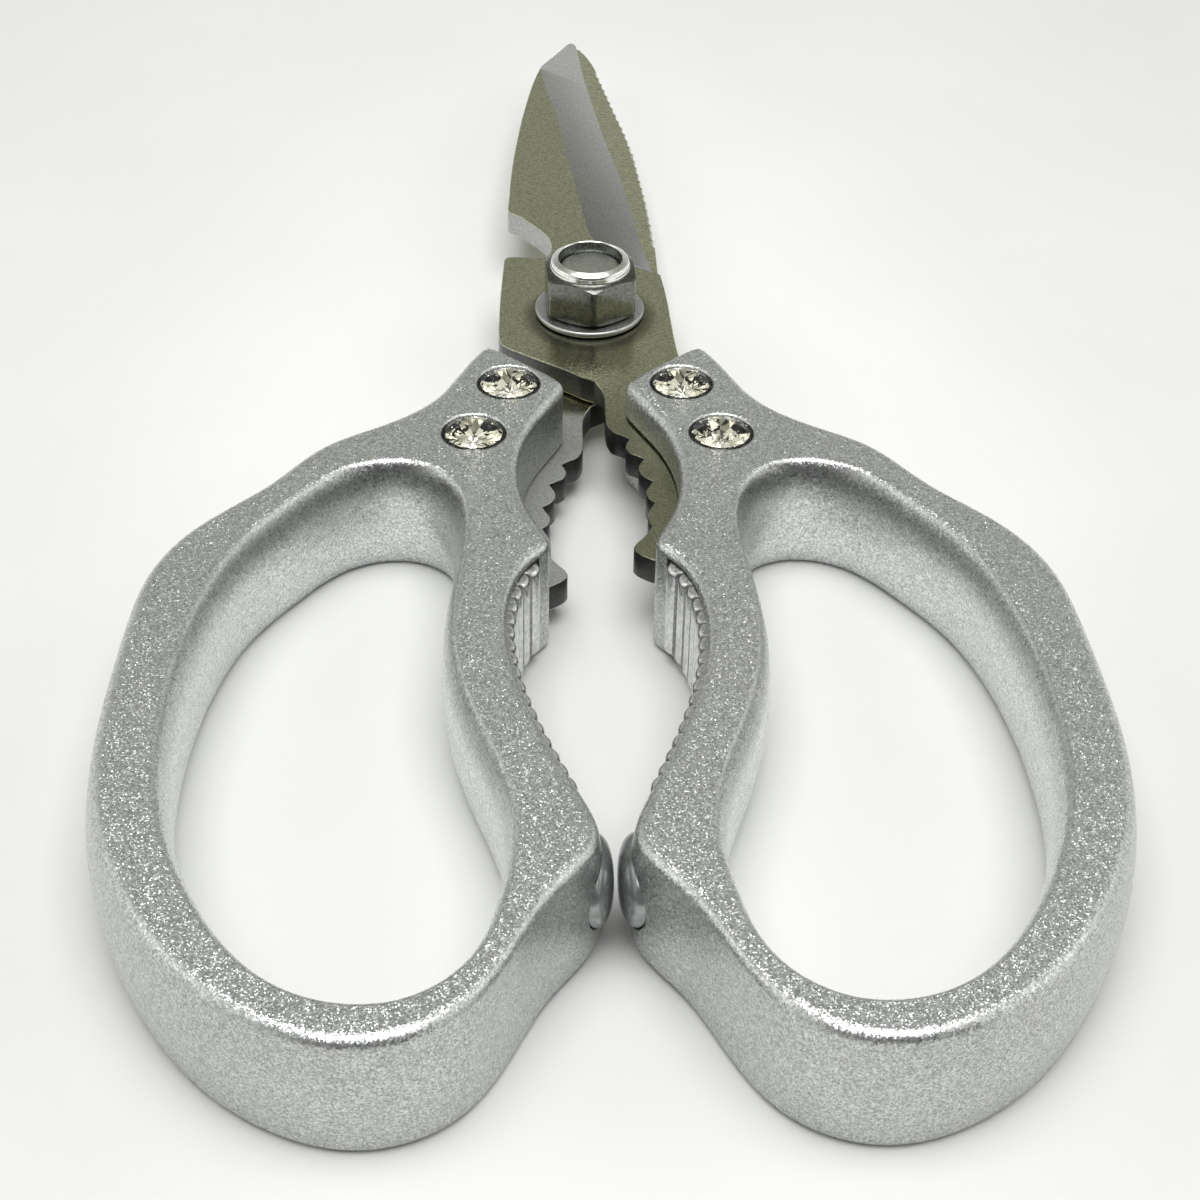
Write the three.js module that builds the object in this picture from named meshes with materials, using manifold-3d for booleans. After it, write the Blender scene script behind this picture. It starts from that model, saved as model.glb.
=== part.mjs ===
// Heavy-duty kitchen shears with ribbed nutcracker handles, closed, lying flat.
// Millimetres, +Z up, +Y towards the blade tips, +X towards the right handle.
// The two handles and their tangs are mirror images; the right handle carries the upper blade.
import * as THREE from 'three';
import { ConvexGeometry } from 'three/addons/geometries/ConvexGeometry.js';
import * as BufferGeometryUtils from 'three/addons/utils/BufferGeometryUtils.js';
import Module from 'manifold-3d';

const wasm = await Module();
wasm.setup();

// ---- driving dimensions ----------------------------------------------------
const HANDLE_T = 13.0;          // thickness of the cast handles
const DATUM_Y = 18.91;         // datum of the outlines, ahead of the middle of the whole length
const AXIS_Y = 0.8;             // pivot axis, ahead of the datum
const GAP = 0.3;                // running and fitting clearance
const BLADE_T = 3.0;            // thickness of each blade
const LOW_Z = 2.3;              // underside of the lower blade
const UP_Z = LOW_Z + BLADE_T + GAP; // underside of the upper blade
const SCALER_Y0 = 22.0, SCALER_Y1 = 72.0; // scaler teeth on the back of the lower blade, from the datum
const SCALER_PITCH = 1.95, SCALER_D = 0.34;
const EDGE_LAND = 0.35;         // height left at the cutting edge
const BULGE = 1.6;              // how far the finger-hole wall swells at half height
const OUT_BULGE = 1.1;          // the same on the outer side of each loop
const FILLET = 0.9;             // rounding of the handle edges
const NUT_AF = 10.0;            // across flats of the lock nut (M6)
const NUT_H = 6.2;              // height of the lock nut
const NUT_TURN = 3.5;           // degrees the nut is turned from square
const BOLT_R = 2.95;            // shank radius of the pivot bolt (M6)
const BORE_R = 3.05;            // running bore in both blades
const NUT_BORE_R = 3.2;         // bore of the nut and its ring
const BOLT_HEAD_R = 5.8;        // low head under the lower blade
const BOLT_HEAD_H = 1.7;
const WASHER_R = 6.25;
const WASHER_T = 0.6;
const GEM_R = 3.05;             // girdle radius of the faceted caps
const CBORE_R = 3.35;           // counterbore that holds a cap
const CBORE_D = 3.3;            // its depth
const RIVET_R = 1.6;
const RIVETS = [[9.25, -21.6], [12.86, -31.3]]; // right-hand side, from the datum
const RIB_N = 17;               // ribs on each gripping insert
const RIB_Z0 = 1.2;
const RIB_Z1 = 11.8;
const RIB_PROUD = 0.85;         // rib crest beyond the handle wall
const INSERT_DEPTH = 1.7;       // how deep the insert sits in its pocket
const PAD = { y: -91.7, z: 6.5, a: 5.15, b: 4.0, tip: 0.15, base: 3.0 };

// ---- outlines, from the datum, right-hand side ------------------------------
const HANDLE = [
  [10.89, -14.25], [10.22, -14.64], [9.10, -15.53], [6.76, -17.45], [4.96, -19.05], [4.04, -20.03],
  [3.57, -20.72], [3.41, -21.39], [3.52, -22.14], [3.94, -23.23], [5.10, -25.67], [6.33, -28.27],
  [7.11, -30.38], [7.69, -32.56], [8.06, -34.80], [8.22, -37.06], [8.16, -39.31], [7.90, -41.51],
  [7.40, -43.75], [6.58, -46.37], [5.65, -48.84], [5.30, -49.91], [5.24, -50.69], [5.44, -51.38],
  [5.99, -52.14], [6.92, -53.32], [7.70, -54.62], [8.33, -56.10], [8.83, -57.87], [9.19, -60.00],
  [9.37, -62.37], [9.34, -64.91], [9.09, -67.69], [8.58, -70.76], [7.85, -73.94], [6.95, -77.07],
  [5.92, -80.17], [4.79, -83.24], [3.62, -86.29], [2.51, -89.15], [1.95, -90.92], [1.73, -92.22],
  [1.75, -93.32], [2.00, -94.37], [2.53, -95.53], [3.52, -97.07], [5.11, -99.29], [6.23, -101.14],
  [7.41, -103.61], [8.73, -106.59], [9.98, -109.12], [11.11, -110.97], [12.24, -112.44], [13.42, -113.63],
  [14.71, -114.63], [16.12, -115.46], [17.61, -116.09], [19.13, -116.50], [20.62, -116.70], [22.13, -116.67],
  [23.73, -116.42], [25.42, -115.93], [27.21, -115.18], [29.08, -114.16], [30.92, -112.90], [32.71, -111.42],
  [34.44, -109.70], [36.13, -107.72], [37.77, -105.45], [39.36, -102.87], [40.81, -100.10], [42.07, -97.25],
  [43.12, -94.35], [43.96, -91.40], [44.59, -88.44], [45.02, -85.32], [45.26, -82.07], [45.34, -78.80],
  [45.29, -75.54], [45.16, -72.28], [44.99, -69.01], [44.78, -65.75], [44.54, -62.50], [44.21, -59.29],
  [43.76, -56.65], [43.20, -54.46], [42.44, -52.42], [41.48, -50.43], [40.33, -48.55], [38.96, -46.73],
  [37.00, -44.54], [34.78, -42.18], [33.08, -40.16], [31.51, -37.91], [29.88, -35.52], [28.66, -34.02],
  [27.42, -32.84], [25.74, -31.59], [23.16, -29.95], [21.03, -28.48], [19.39, -27.11], [18.03, -25.71],
  [16.92, -24.27], [16.00, -22.70], [15.00, -20.47], [13.81, -17.64], [12.85, -15.63], [12.38, -14.80],
  [11.95, -14.32], [11.45, -14.12],
];
const HOLE = [
  [12.19, -75.00], [11.07, -78.65], [9.89, -82.27], [8.86, -85.90], [8.17, -89.57], [8.03, -93.31],
  [8.45, -97.13], [9.18, -100.93], [10.20, -104.59], [11.86, -107.95], [14.42, -110.76], [17.72, -112.57],
  [21.44, -113.00], [25.12, -112.19], [28.34, -110.40], [31.07, -107.85], [33.38, -104.77], [35.31, -101.38],
  [36.93, -97.90], [38.26, -94.37], [39.28, -90.77], [40.00, -87.08], [40.45, -83.31], [40.65, -79.50],
  [40.65, -75.68], [40.49, -71.88], [40.16, -68.11], [39.66, -64.37], [38.98, -60.63], [38.10, -56.93],
  [36.95, -53.31], [35.45, -49.86], [33.56, -46.63], [31.37, -43.49], [28.98, -40.38], [26.20, -37.77],
  [22.80, -36.29], [19.12, -36.29], [15.96, -37.95], [13.91, -41.02], [13.07, -44.75], [12.95, -48.63],
  [13.15, -52.47], [13.49, -56.26], [13.80, -60.03], [13.90, -63.79], [13.66, -67.55], [13.07, -71.30],
];
// inner (mouth) side of the tang with its scalloped teeth and the hook, heading to the handle
const TANG_IN = [
  [0.2, -14.3], [0.8, -15.8], [1.15, -17.5], [1.2, -19.5], [1.2, -21.5], [1.35, -23.2], [1.9, -24.6], [2.9, -25.3],
  [3.6, -25.9], [3.3, -26.7], [3.15, -27.6], [3.5, -28.6], [4.3, -29.2],
  [5.0, -29.7], [4.6, -30.6], [4.35, -31.5], [4.5, -32.5], [5.0, -33.3],
  [5.75, -33.9], [5.4, -34.8], [5.0, -35.7], [5.0, -36.5], [5.3, -37.3],
  [5.8, -37.8], [5.4, -38.8], [5.05, -39.8], [4.95, -40.8], [5.1, -41.6],
  [5.3, -42.1], [4.9, -43.1], [4.3, -44.1], [3.6, -45.1], [3.3, -45.9], [3.6, -46.7], [4.6, -47.6], [5.8, -48.3],
];
// outer side of the tang, hidden in the handle, heading back to the pivot
const TANG_OUT = [
  [7.0, -49.0], [8.8, -47.5], [9.9, -44.5], [10.6, -41.0], [11.5, -38.0], [13.8, -36.0], [15.8, -34.2], [16.45, -31.0],
  [15.6, -27.5], [14.0, -24.0], [12.2, -20.0], [11.0, -16.0], [10.3, -12.0],
];
// pocket in the handle that takes the tang, open to the mouth and to the pivot
const SLOT = [
  [-3.0, -8.0], [10.0, -8.0], [10.62, -12.0], [11.33, -16.0], [12.52, -19.88], [14.3, -23.88], [15.93, -27.42],
  [16.8, -31.05], [16.12, -34.42], [14.0, -36.3], [11.75, -38.22], [10.92, -41.08], [10.22, -44.62], [9.08, -47.72],
  [7.15, -49.35], [5.6, -48.58], [4.4, -47.95], [3.3, -46.95], [-3.0, -46.95],
];
const UPPER_SPINE = [ // from the pivot plate's shoulder up the back, over the notch, to the tip
  [-1.3, -13.4], [-2.6, -12.25], [-4.4, -10.9], [-6.4, -9.45], [-7.8, -8.4], [-9.2, -7.4], [-10.1, -6.3], [-10.4, -4.6],
  [-10.4, -1.0], [-10.3, 3.6], [-10.1, 8.2], [-9.85, 12.9], [-9.5, 13.55], [-8.7, 13.7], [-6.9, 13.55], [-5.2, 13.5],
  [-4.55, 14.2], [-4.2, 15.6], [-4.25, 17.2], [-4.7, 18.9], [-5.5, 20.4], [-6.5, 21.9], [-7.7, 23.5], [-8.6, 24.4],
  [-9.2, 24.8], [-9.4, 25.4], [-9.3, 28.2], [-9.1, 33.6], [-8.75, 39.1], [-8.25, 44.7], [-7.65, 50.5], [-6.9, 56.3],
  [-6.1, 61.5], [-5.1, 66.2], [-3.85, 70.3], [-2.6, 74.0], [-1.6, 77.0], [-1.0, 78.7], [-0.5, 79.4],
];
const UPPER_EDGE = [ // cutting edge from the tip back to the pivot plate
  [0.0, 79.0], [0.4, 74.8], [0.7, 70.5], [1.05, 67.0], [1.45, 63.6], [1.85, 60.2], [2.3, 56.6], [2.75, 53.0], [3.2, 50.0],
  [4.05, 44.3], [5.0, 38.2], [5.75, 32.0], [6.45, 25.0], [7.0, 20.5], [7.6, 16.5], [8.2, 12.6], [8.7, 8.3], [9.1, 3.6],
  [9.3, -1.0], [9.5, -5.4], [9.8, -9.0],
];
const BEVEL_TOP = [ // where the ground bevel meets the flat of the upper blade, tip to pivot
  [-6.9, 80.5], [-6.3, 75.0], [-5.6, 69.8], [-5.1, 65.8], [-4.4, 59.6], [-3.4, 53.5], [-2.6, 46.2], [-1.8, 39.1],
  [-1.0, 32.0], [-0.2, 24.6], [0.6, 19.0], [2.6, 14.6], [5.6, 11.2], [9.3, 9.0],
];
const BEVEL_EDGE = [ // matching points just outside the cutting edge
  [0.1, 80.5], [0.4, 75.0], [0.75, 69.8], [1.15, 65.8], [1.9, 59.6], [2.7, 53.5], [3.75, 46.2], [4.85, 39.1],
  [5.75, 32.0], [6.5, 24.6], [7.2, 19.0], [7.9, 14.6], [8.4, 11.2], [9.4, 8.9],
];
const LOWER_SPINE = [ // right-hand side of the lower blade, tip back to its shoulder
  [0.5, 79.3], [1.3, 77.4], [2.2, 74.5], [3.2, 69.8], [4.2, 64.2], [5.15, 58.6], [6.05, 53.6], [6.75, 48.6], [7.25, 44.0],
  [7.65, 39.5], [8.0, 35.5], [8.25, 31.5], [8.45, 27.5], [8.6, 23.0], [8.65, 19.0], [8.7, 14.0], [8.9, 8.0], [9.0, 2.0],
  [9.1, -3.0], [8.9, -6.2], [7.8, -8.0], [6.2, -9.5], [4.4, -10.9], [2.6, -12.25], [1.2, -13.3],
];
const LOWER_EDGE = [ // left-hand side of the lower blade from its plate out to the tip
  [-9.7, -9.0], [-9.6, -4.0], [-9.6, 2.0], [-9.3, 7.0], [-8.4, 10.4], [-6.4, 12.2], [-4.4, 13.0], [-3.6, 14.2],
  [-3.5, 18.0], [-3.6, 24.0], [-3.5, 31.0], [-3.2, 39.0], [-2.7, 47.0], [-2.1, 55.0], [-1.5, 63.0], [-0.9, 70.0],
  [-0.3, 76.0], [0.05, 79.2],
];
const LOWER_GRIND = [ // inner limit of the lower blade's ground face, underneath
  [1.4, 14.2], [2.0, 18.0], [2.3, 24.0], [2.6, 31.0], [2.9, 39.0], [3.0, 47.0], [2.9, 55.0], [2.6, 63.0], [2.2, 70.0],
  [1.6, 76.0], [1.3, 80.6],
];
const LOWER_GRIND_EDGE = [
  [-3.6, 14.2], [-3.55, 18.0], [-3.65, 24.0], [-3.55, 31.0], [-3.25, 39.0], [-2.75, 47.0], [-2.15, 55.0], [-1.55, 63.0],
  [-0.95, 70.0], [-0.35, 76.0], [0.0, 80.6],
];

// ---- helpers ---------------------------------------------------------------
const mirrorX = (loop) => loop.map(([x, y]) => [-x, y]).reverse();
function area(loop) {
  let a = 0;
  for (let i = 0; i < loop.length; i += 1) {
    const p = loop[i], q = loop[(i + 1) % loop.length];
    a += p[0] * q[1] - q[0] * p[1];
  }
  return a / 2;
}
const ccw = (loop) => (area(loop) > 0 ? loop : loop.slice().reverse());
// moves every point of a counter-clockwise loop towards its inside; d is one distance or one for each point
function inset(loop, d) {
  const n = loop.length;
  return loop.map((p, i) => {
    const a = loop[(i + n - 1) % n], b = loop[(i + 1) % n];
    const t1 = [p[0] - a[0], p[1] - a[1]], t2 = [b[0] - p[0], b[1] - p[1]];
    const l1 = Math.hypot(...t1), l2 = Math.hypot(...t2);
    const nx = -(t1[1] / l1 + t2[1] / l2), ny = t1[0] / l1 + t2[0] / l2;
    const l = Math.hypot(nx, ny) || 1;
    const q = Array.isArray(d) ? d[i] : d;
    return [p[0] + (nx / l) * q, p[1] + (ny / l) * q];
  });
}
function indexed(positions, triangles) {
  const g = new THREE.BufferGeometry();
  g.setAttribute('position', new THREE.Float32BufferAttribute(positions, 3));
  g.setIndex(triangles);
  return g;
}
// stacks loops (same point count) from the bottom up; holes is an optional second stack of loops
function stack(levels, holes = null) {
  const pos = [], tri = [];
  const push = (loops) => loops.map(({ loop, z }) => {
    const start = pos.length / 3;
    loop.forEach(([x, y], i) => pos.push(x, y, Array.isArray(z) ? z[i] : z));
    return start;
  });
  const side = (starts, n, flip) => {
    for (let k = 0; k + 1 < starts.length; k += 1) {
      for (let i = 0; i < n; i += 1) {
        const j = (i + 1) % n;
        const a = starts[k] + i, b = starts[k] + j, c = starts[k + 1] + j, d = starts[k + 1] + i;
        if (flip) tri.push(a, c, b, a, d, c); else tri.push(a, b, c, a, c, d);
      }
    }
  };
  const n = levels[0].loop.length;
  const s = push(levels);
  side(s, n, false);
  let h = null, m = 0;
  if (holes) {
    m = holes[0].loop.length;
    h = push(holes);
    side(h, m, true);
  }
  for (const top of [false, true]) {
    const k = top ? levels.length - 1 : 0;
    const contour = levels[k].loop.map(([x, y]) => new THREE.Vector2(x, y));
    const hl = holes ? [holes[top ? holes.length - 1 : 0].loop.map(([x, y]) => new THREE.Vector2(x, y))] : [];
    const faces = THREE.ShapeUtils.triangulateShape(contour, hl);
    const at = (i) => (i < n ? s[k] + i : h[top ? h.length - 1 : 0] + (i - n));
    for (const [a, b, c] of faces) {
      if (top) tri.push(at(a), at(b), at(c)); else tri.push(at(a), at(c), at(b));
    }
  }
  return indexed(pos, tri);
}
const prism = (loop, z0, z1) => stack([{ loop: ccw(loop), z: z0 }, { loop: ccw(loop), z: z1 }]);
function lathe(profile, segments) {
  // profile of [radius, height] points, turned about +Z, closing on itself or on the axis
  const g = new THREE.LatheGeometry(profile.map(([r, z]) => new THREE.Vector2(r, z)), segments);
  g.rotateX(Math.PI / 2);
  return g;
}
function toManifold(geometry) {
  const g = geometry.clone();
  g.deleteAttribute('normal');
  g.deleteAttribute('uv');
  const merged = BufferGeometryUtils.mergeVertices(g, 1e-4);
  const index = merged.getIndex();
  const p = merged.getAttribute('position').array;
  const tris = [];
  for (let i = 0; i < index.count; i += 3) {
    const a = index.getX(i), b = index.getX(i + 1), c = index.getX(i + 2);
    if (a !== b && b !== c && a !== c) tris.push(a, b, c);
  }
  return new wasm.Manifold(new wasm.Mesh({
    numProp: 3, vertProperties: new Float32Array(p), triVerts: new Uint32Array(tris),
  }));
}
function fromManifold(solid) {
  const m = solid.getMesh();
  const pos = new Float32Array(m.numVert * 3);
  for (let i = 0; i < m.numVert; i += 1) {
    for (let k = 0; k < 3; k += 1) pos[i * 3 + k] = m.vertProperties[i * m.numProp + k];
  }
  const g = new THREE.BufferGeometry();
  g.setAttribute('position', new THREE.BufferAttribute(pos, 3));
  g.setIndex(Array.from(m.triVerts));
  return g;
}
function outward(geometry) {
  // signed volume decides whether the faces need flipping
  const g = geometry, p = g.getAttribute('position'), ix = g.getIndex();
  let v = 0;
  const a = new THREE.Vector3(), b = new THREE.Vector3(), c = new THREE.Vector3();
  for (let i = 0; i < ix.count; i += 3) {
    a.fromBufferAttribute(p, ix.getX(i)); b.fromBufferAttribute(p, ix.getX(i + 1)); c.fromBufferAttribute(p, ix.getX(i + 2));
    v += a.dot(b.cross(c));
  }
  if (v < 0) {
    const arr = Array.from(ix.array);
    for (let i = 0; i < arr.length; i += 3) [arr[i + 1], arr[i + 2]] = [arr[i + 2], arr[i + 1]];
    g.setIndex(arr);
  }
  return g;
}
// mirror image of a geometry across the plane x = 0
function mirrored(geometry) {
  const g = geometry.clone();
  g.scale(-1, 1, 1);
  const arr = Array.from(g.getIndex().array);
  for (let i = 0; i < arr.length; i += 3) [arr[i + 1], arr[i + 2]] = [arr[i + 2], arr[i + 1]];
  g.setIndex(arr);
  return g;
}
const cylinder = (r, z0, z1, x, y, seg = 32) => {
  const g = lathe([[0, z0], [r, z0], [r, z1], [0, z1]], seg);
  g.translate(x, y, 0);
  return g;
};
// a closed band between two matching 3-D polylines, carried straight up or down to zFar
function wedge(inner, zInner, outer, zOuter, zFar, reach) {
  const pos = [], tri = [];
  const n = inner.length;
  for (let i = 0; i < n; i += 1) {
    const [ax, ay] = inner[i], [bx, by] = outer[i];
    const ex = bx + (bx - ax) * reach, ey = by + (by - ay) * reach;
    const ez = zOuter + (zOuter - zInner) * reach;
    pos.push(ax, ay, zInner, ex, ey, ez, ex, ey, zFar, ax, ay, zFar);
  }
  for (let i = 0; i + 1 < n; i += 1) {
    for (let k = 0; k < 4; k += 1) {
      const l = (k + 1) % 4;
      tri.push(i * 4 + k, (i + 1) * 4 + k, (i + 1) * 4 + l, i * 4 + k, (i + 1) * 4 + l, i * 4 + l);
    }
  }
  tri.push(0, 1, 2, 0, 2, 3);
  const e = (n - 1) * 4;
  tri.push(e, e + 2, e + 1, e, e + 3, e + 2);
  return outward(indexed(pos, tri));
}

// ---- handle ----------------------------------------------------------------
const f = FILLET;
const half = HANDLE_T / 2;
const outer = ccw(HANDLE);
// share of the swell at each point of the outline: none on the mouth side, full on the flanks, less at the near end
const swell = outer.map((p, i) => {
  const a = outer[(i + outer.length - 1) % outer.length], b = outer[(i + 1) % outer.length];
  const l = Math.hypot(b[0] - a[0], b[1] - a[1]);
  const side = 0.45 + 0.55 * Math.abs((b[1] - a[1]) / l);
  const k = Math.min(1, Math.max(0, (p[0] - 9.5) / 6.5));
  return side * k * k * (3 - 2 * k);
});
const handleLevels = [
  [f, 0], [f * 0.35, f * 0.33], [0, f], [0, 3.4], [0, half], [0, HANDLE_T - 3.4], [0, HANDLE_T - f], [f * 0.35, HANDLE_T - f * 0.33], [f, HANDLE_T],
].map(([d, z]) => {
  const t = Math.abs(z - half) / half;
  const out = OUT_BULGE * (1 - t ** 2);
  return { loop: inset(outer, swell.map((w) => d - w * out)), z };
});
const holeCcw = ccw(HOLE);
const holeLevels = [0, 0.5, 1.5, 3.6, half, HANDLE_T - 3.6, HANDLE_T - 1.5, HANDLE_T - 0.5, HANDLE_T].map((z) => {
  const t = Math.abs(z - half) / half;
  return { loop: inset(holeCcw, BULGE * Math.sqrt(Math.max(0, 1 - t ** 2.4))), z };
});

// rib crest line of the gripping insert: the handle wall between these two heights of y
function polyArc(loop, yTop, yBottom) {
  // loop runs counter-clockwise, the mouth side runs from the pivot end to the pads
  const out = [];
  for (let i = 0; i < loop.length; i += 1) {
    const [x, y] = loop[i];
    if (x < 9.6 && y < yTop && y > yBottom) out.push([x, y]);
  }
  return out;
}
const wallArc = polyArc(outer, -52.3, -86.6);
const wallCurve = new THREE.CatmullRomCurve3(wallArc.map(([x, y]) => new THREE.Vector3(x, y, 0)), false, 'centripetal');
function along(u, d) { // point on the wall at fraction u, moved d towards the mouth
  const p = wallCurve.getPointAt(u), t = wallCurve.getTangentAt(u);
  return [p.x + t.y * d, p.y - t.x * d];
}
const towardsMouth = along(0.5, 1)[0] < wallCurve.getPointAt(0.5).x ? 1 : -1;
const RIB_STEPS = 6;
const insertFront = [];
for (let i = 0; i <= RIB_N * RIB_STEPS; i += 1) {
  const u = i / (RIB_N * RIB_STEPS);
  const ph = (i % RIB_STEPS) / RIB_STEPS;
  const h = Math.sqrt(Math.max(0, 1 - (2 * ph - 1) ** 2)); // half-round rib, valley at its ends
  insertFront.push(along(0.012 + 0.976 * u, towardsMouth * (0.15 + (RIB_PROUD - 0.15) * h)));
}
const insertBack = [], pocketBack = [], pocketFront = [];
for (let i = 0; i <= 16; i += 1) {
  const u = i / 16;
  insertBack.push(along(0.012 + 0.976 * u, -towardsMouth * INSERT_DEPTH));
  pocketBack.push(along(u, -towardsMouth * (INSERT_DEPTH + GAP)));
  pocketFront.push(along(u, towardsMouth * 3));
}
const insertLoop = ccw(insertFront.concat(insertBack.slice().reverse()));
const pocketLoop = ccw(pocketFront.concat(pocketBack.slice().reverse()));

function padSolid(grow) {
  // oval puck with a domed face towards the mouth, its axis along x
  const a = PAD.a + grow, b = PAD.b + grow;
  const g = lathe(grow > 0
    ? [[0, -4], [1, -4], [1, PAD.base + grow], [0, PAD.base + grow]]
    : [[0, PAD.tip], [0.4, PAD.tip + 0.12], [0.68, PAD.tip + 0.42], [0.88, PAD.tip + 0.9], [1, PAD.tip + 1.5], [1, PAD.base], [0, PAD.base]], 32);
  g.scale(b, a, 1);          // radius along z, radius along y
  g.rotateY(Math.PI / 2);    // axis to +x
  g.translate(0, PAD.y, PAD.z);
  return outward(BufferGeometryUtils.mergeVertices((() => { g.deleteAttribute('normal'); g.deleteAttribute('uv'); return g; })(), 1e-4));
}

function handleSolid(slotZ0, slotZ1) {
  let s = toManifold(stack(handleLevels, holeLevels));
  s = s.subtract(toManifold(prism(SLOT, slotZ0, slotZ1)));
  s = s.subtract(toManifold(prism(pocketLoop, RIB_Z0 - GAP, RIB_Z1 + GAP)));
  s = s.subtract(toManifold(padSolid(GAP)));
  for (const [x, y] of RIVETS) {
    s = s.subtract(toManifold(cylinder(RIVET_R + GAP, -1, HANDLE_T + 1, x, y, 28)));
    s = s.subtract(toManifold(cylinder(CBORE_R, HANDLE_T - CBORE_D, HANDLE_T + 1, x, y, 36)));
    s = s.subtract(toManifold(cylinder(CBORE_R, -1, 1.3, x, y, 36)));
  }
  return fromManifold(s);
}

// ---- blades ----------------------------------------------------------------
// an open path, tip first, with shallow pointed scallops cut into it towards -x between two heights of y
function scalloped(path, y0, y1, pitch, depth) {
  const curve = new THREE.CatmullRomCurve3(path.map(([x, y]) => new THREE.Vector3(x, y, 0)), false, 'centripetal');
  const steps = 1200, dense = [];
  for (let i = 0; i <= steps; i += 1) dense.push(curve.getPointAt(i / steps));
  const length = curve.getLength();
  const inside = dense.map((p, i) => [p, i]).filter(([p]) => p.y > y0 && p.y < y1);
  const first = inside[0][1], last = inside[inside.length - 1][1];
  const count = Math.round((((last - first) / steps) * length) / pitch);
  const out = path.filter(([, y]) => y >= dense[first].y).map((p) => p.slice());
  for (let k = 0; k < count; k += 1) {
    for (const s of [0, 0.25, 0.5, 0.75]) {
      const u = (first + ((last - first) * (k + s)) / count) / steps;
      const p = curve.getPointAt(u), t = curve.getTangentAt(u);
      const h = depth * Math.sqrt(Math.max(0, 1 - (2 * s - 1) ** 2));
      const side = -t.y > 0 ? -1 : 1;          // the normal that points to -x
      out.push([p.x + side * Math.abs(t.y) * h, p.y + side * -Math.sign(t.y) * t.x * h]);
    }
  }
  const end = dense[last];
  out.push([end.x, end.y]);
  return out.concat(path.filter(([, y]) => y <= end.y - 0.5));
}
function tangHoles(s) {
  for (const [x, y] of RIVETS) s = s.subtract(toManifold(cylinder(RIVET_R + GAP, -1, HANDLE_T, x, y, 28)));
  return s;
}
function upperBlade() {
  const loop = ccw(UPPER_EDGE.concat(TANG_OUT.slice().reverse(), TANG_IN.slice().reverse(), UPPER_SPINE));
  let s = toManifold(prism(loop, UP_Z, UP_Z + BLADE_T));
  s = s.subtract(toManifold(wedge(BEVEL_TOP, UP_Z + BLADE_T, BEVEL_EDGE, UP_Z + EDGE_LAND, UP_Z + BLADE_T + 3, 0.5)));
  s = s.subtract(toManifold(cylinder(BORE_R, 0, 20, 0, AXIS_Y, 48)));
  return fromManifold(tangHoles(s));
}
function lowerBlade() {
  // built right-handed about its own tang: the tang is mirrored to the left handle
  const tangIn = mirrorX(TANG_IN), tangOut = mirrorX(TANG_OUT);
  const loop = ccw(scalloped(LOWER_SPINE, SCALER_Y0, SCALER_Y1, SCALER_PITCH, SCALER_D).concat(TANG_IN.map(([x, y]) => [-x, y]), TANG_OUT.map(([x, y]) => [-x, y]), LOWER_EDGE));
  let s = toManifold(prism(loop, LOW_Z, LOW_Z + BLADE_T));
  s = s.subtract(toManifold(wedge(LOWER_GRIND, LOW_Z, LOWER_GRIND_EDGE, LOW_Z + BLADE_T - EDGE_LAND, LOW_Z - 3, 0.5)));
  s = s.subtract(toManifold(cylinder(BORE_R, 0, 20, 0, AXIS_Y, 48)));
  for (const [x, y] of RIVETS) s = s.subtract(toManifold(cylinder(RIVET_R + GAP, -1, HANDLE_T, -x, y, 28)));
  return fromManifold(s);
}

// ---- pivot -----------------------------------------------------------------
const boltTop = 14.6;
function boltSolid() {
  const z1 = LOW_Z - 0.2, z0 = z1 - BOLT_HEAD_H;
  let s = toManifold(lathe([[0, z0], [BOLT_HEAD_R - 0.5, z0], [BOLT_HEAD_R, z0 + 0.5], [BOLT_HEAD_R, z1], [BOLT_R, z1],
    [BOLT_R, boltTop - 0.5], [BOLT_R - 0.5, boltTop], [0, boltTop]], 40));
  const slot = new THREE.BoxGeometry(14, 1.3, 1.4);
  slot.translate(0, 0, z0);
  s = s.subtract(toManifold(slot));
  return fromManifold(s).translate(0, AXIS_Y, 0);
}
const washerZ = UP_Z + BLADE_T + 0.15;
const nutZ = washerZ + WASHER_T + 0.2;
function nutSolid() {
  const h = NUT_H;
  const body = lathe([
    [NUT_BORE_R, 0], [4.95, 0], [6.0, 0.5], [6.0, 4.15], [5.1, 4.85], [4.62, 5.1], [4.45, 5.6], [4.3, 6.0], [4.05, h],
    [3.8, h], [3.6, h - 0.3], [3.5, 4.8], [3.95, 4.6], [3.95, 3.7], [NUT_BORE_R, 3.7], [NUT_BORE_R, 0],
  ], 48);
  const R = NUT_AF / Math.sqrt(3);
  const hex = [];
  for (let i = 0; i < 6; i += 1) {
    const a = THREE.MathUtils.degToRad(-90 + NUT_TURN + 60 * i);
    hex.push([R * Math.cos(a), R * Math.sin(a)]);
  }
  const g = fromManifold(toManifold(body).intersect(toManifold(prism(hex, -1, h + 1))));
  g.translate(0, AXIS_Y, nutZ);
  return g;
}
function insertRing() {
  const g = lathe([[NUT_BORE_R, 3.9], [3.7, 3.9], [3.7, 4.5], [NUT_BORE_R, 4.5], [NUT_BORE_R, 3.9]], 40);
  g.translate(0, AXIS_Y, nutZ);
  return g;
}
const washer = () => lathe([[3.25, washerZ], [WASHER_R - 0.15, washerZ], [WASHER_R, washerZ + 0.15], [WASHER_R, washerZ + WASHER_T - 0.2],
  [WASHER_R - 0.25, washerZ + WASHER_T], [3.25, washerZ + WASHER_T], [3.25, washerZ]], 48).translate(0, AXIS_Y, 0);

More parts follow.
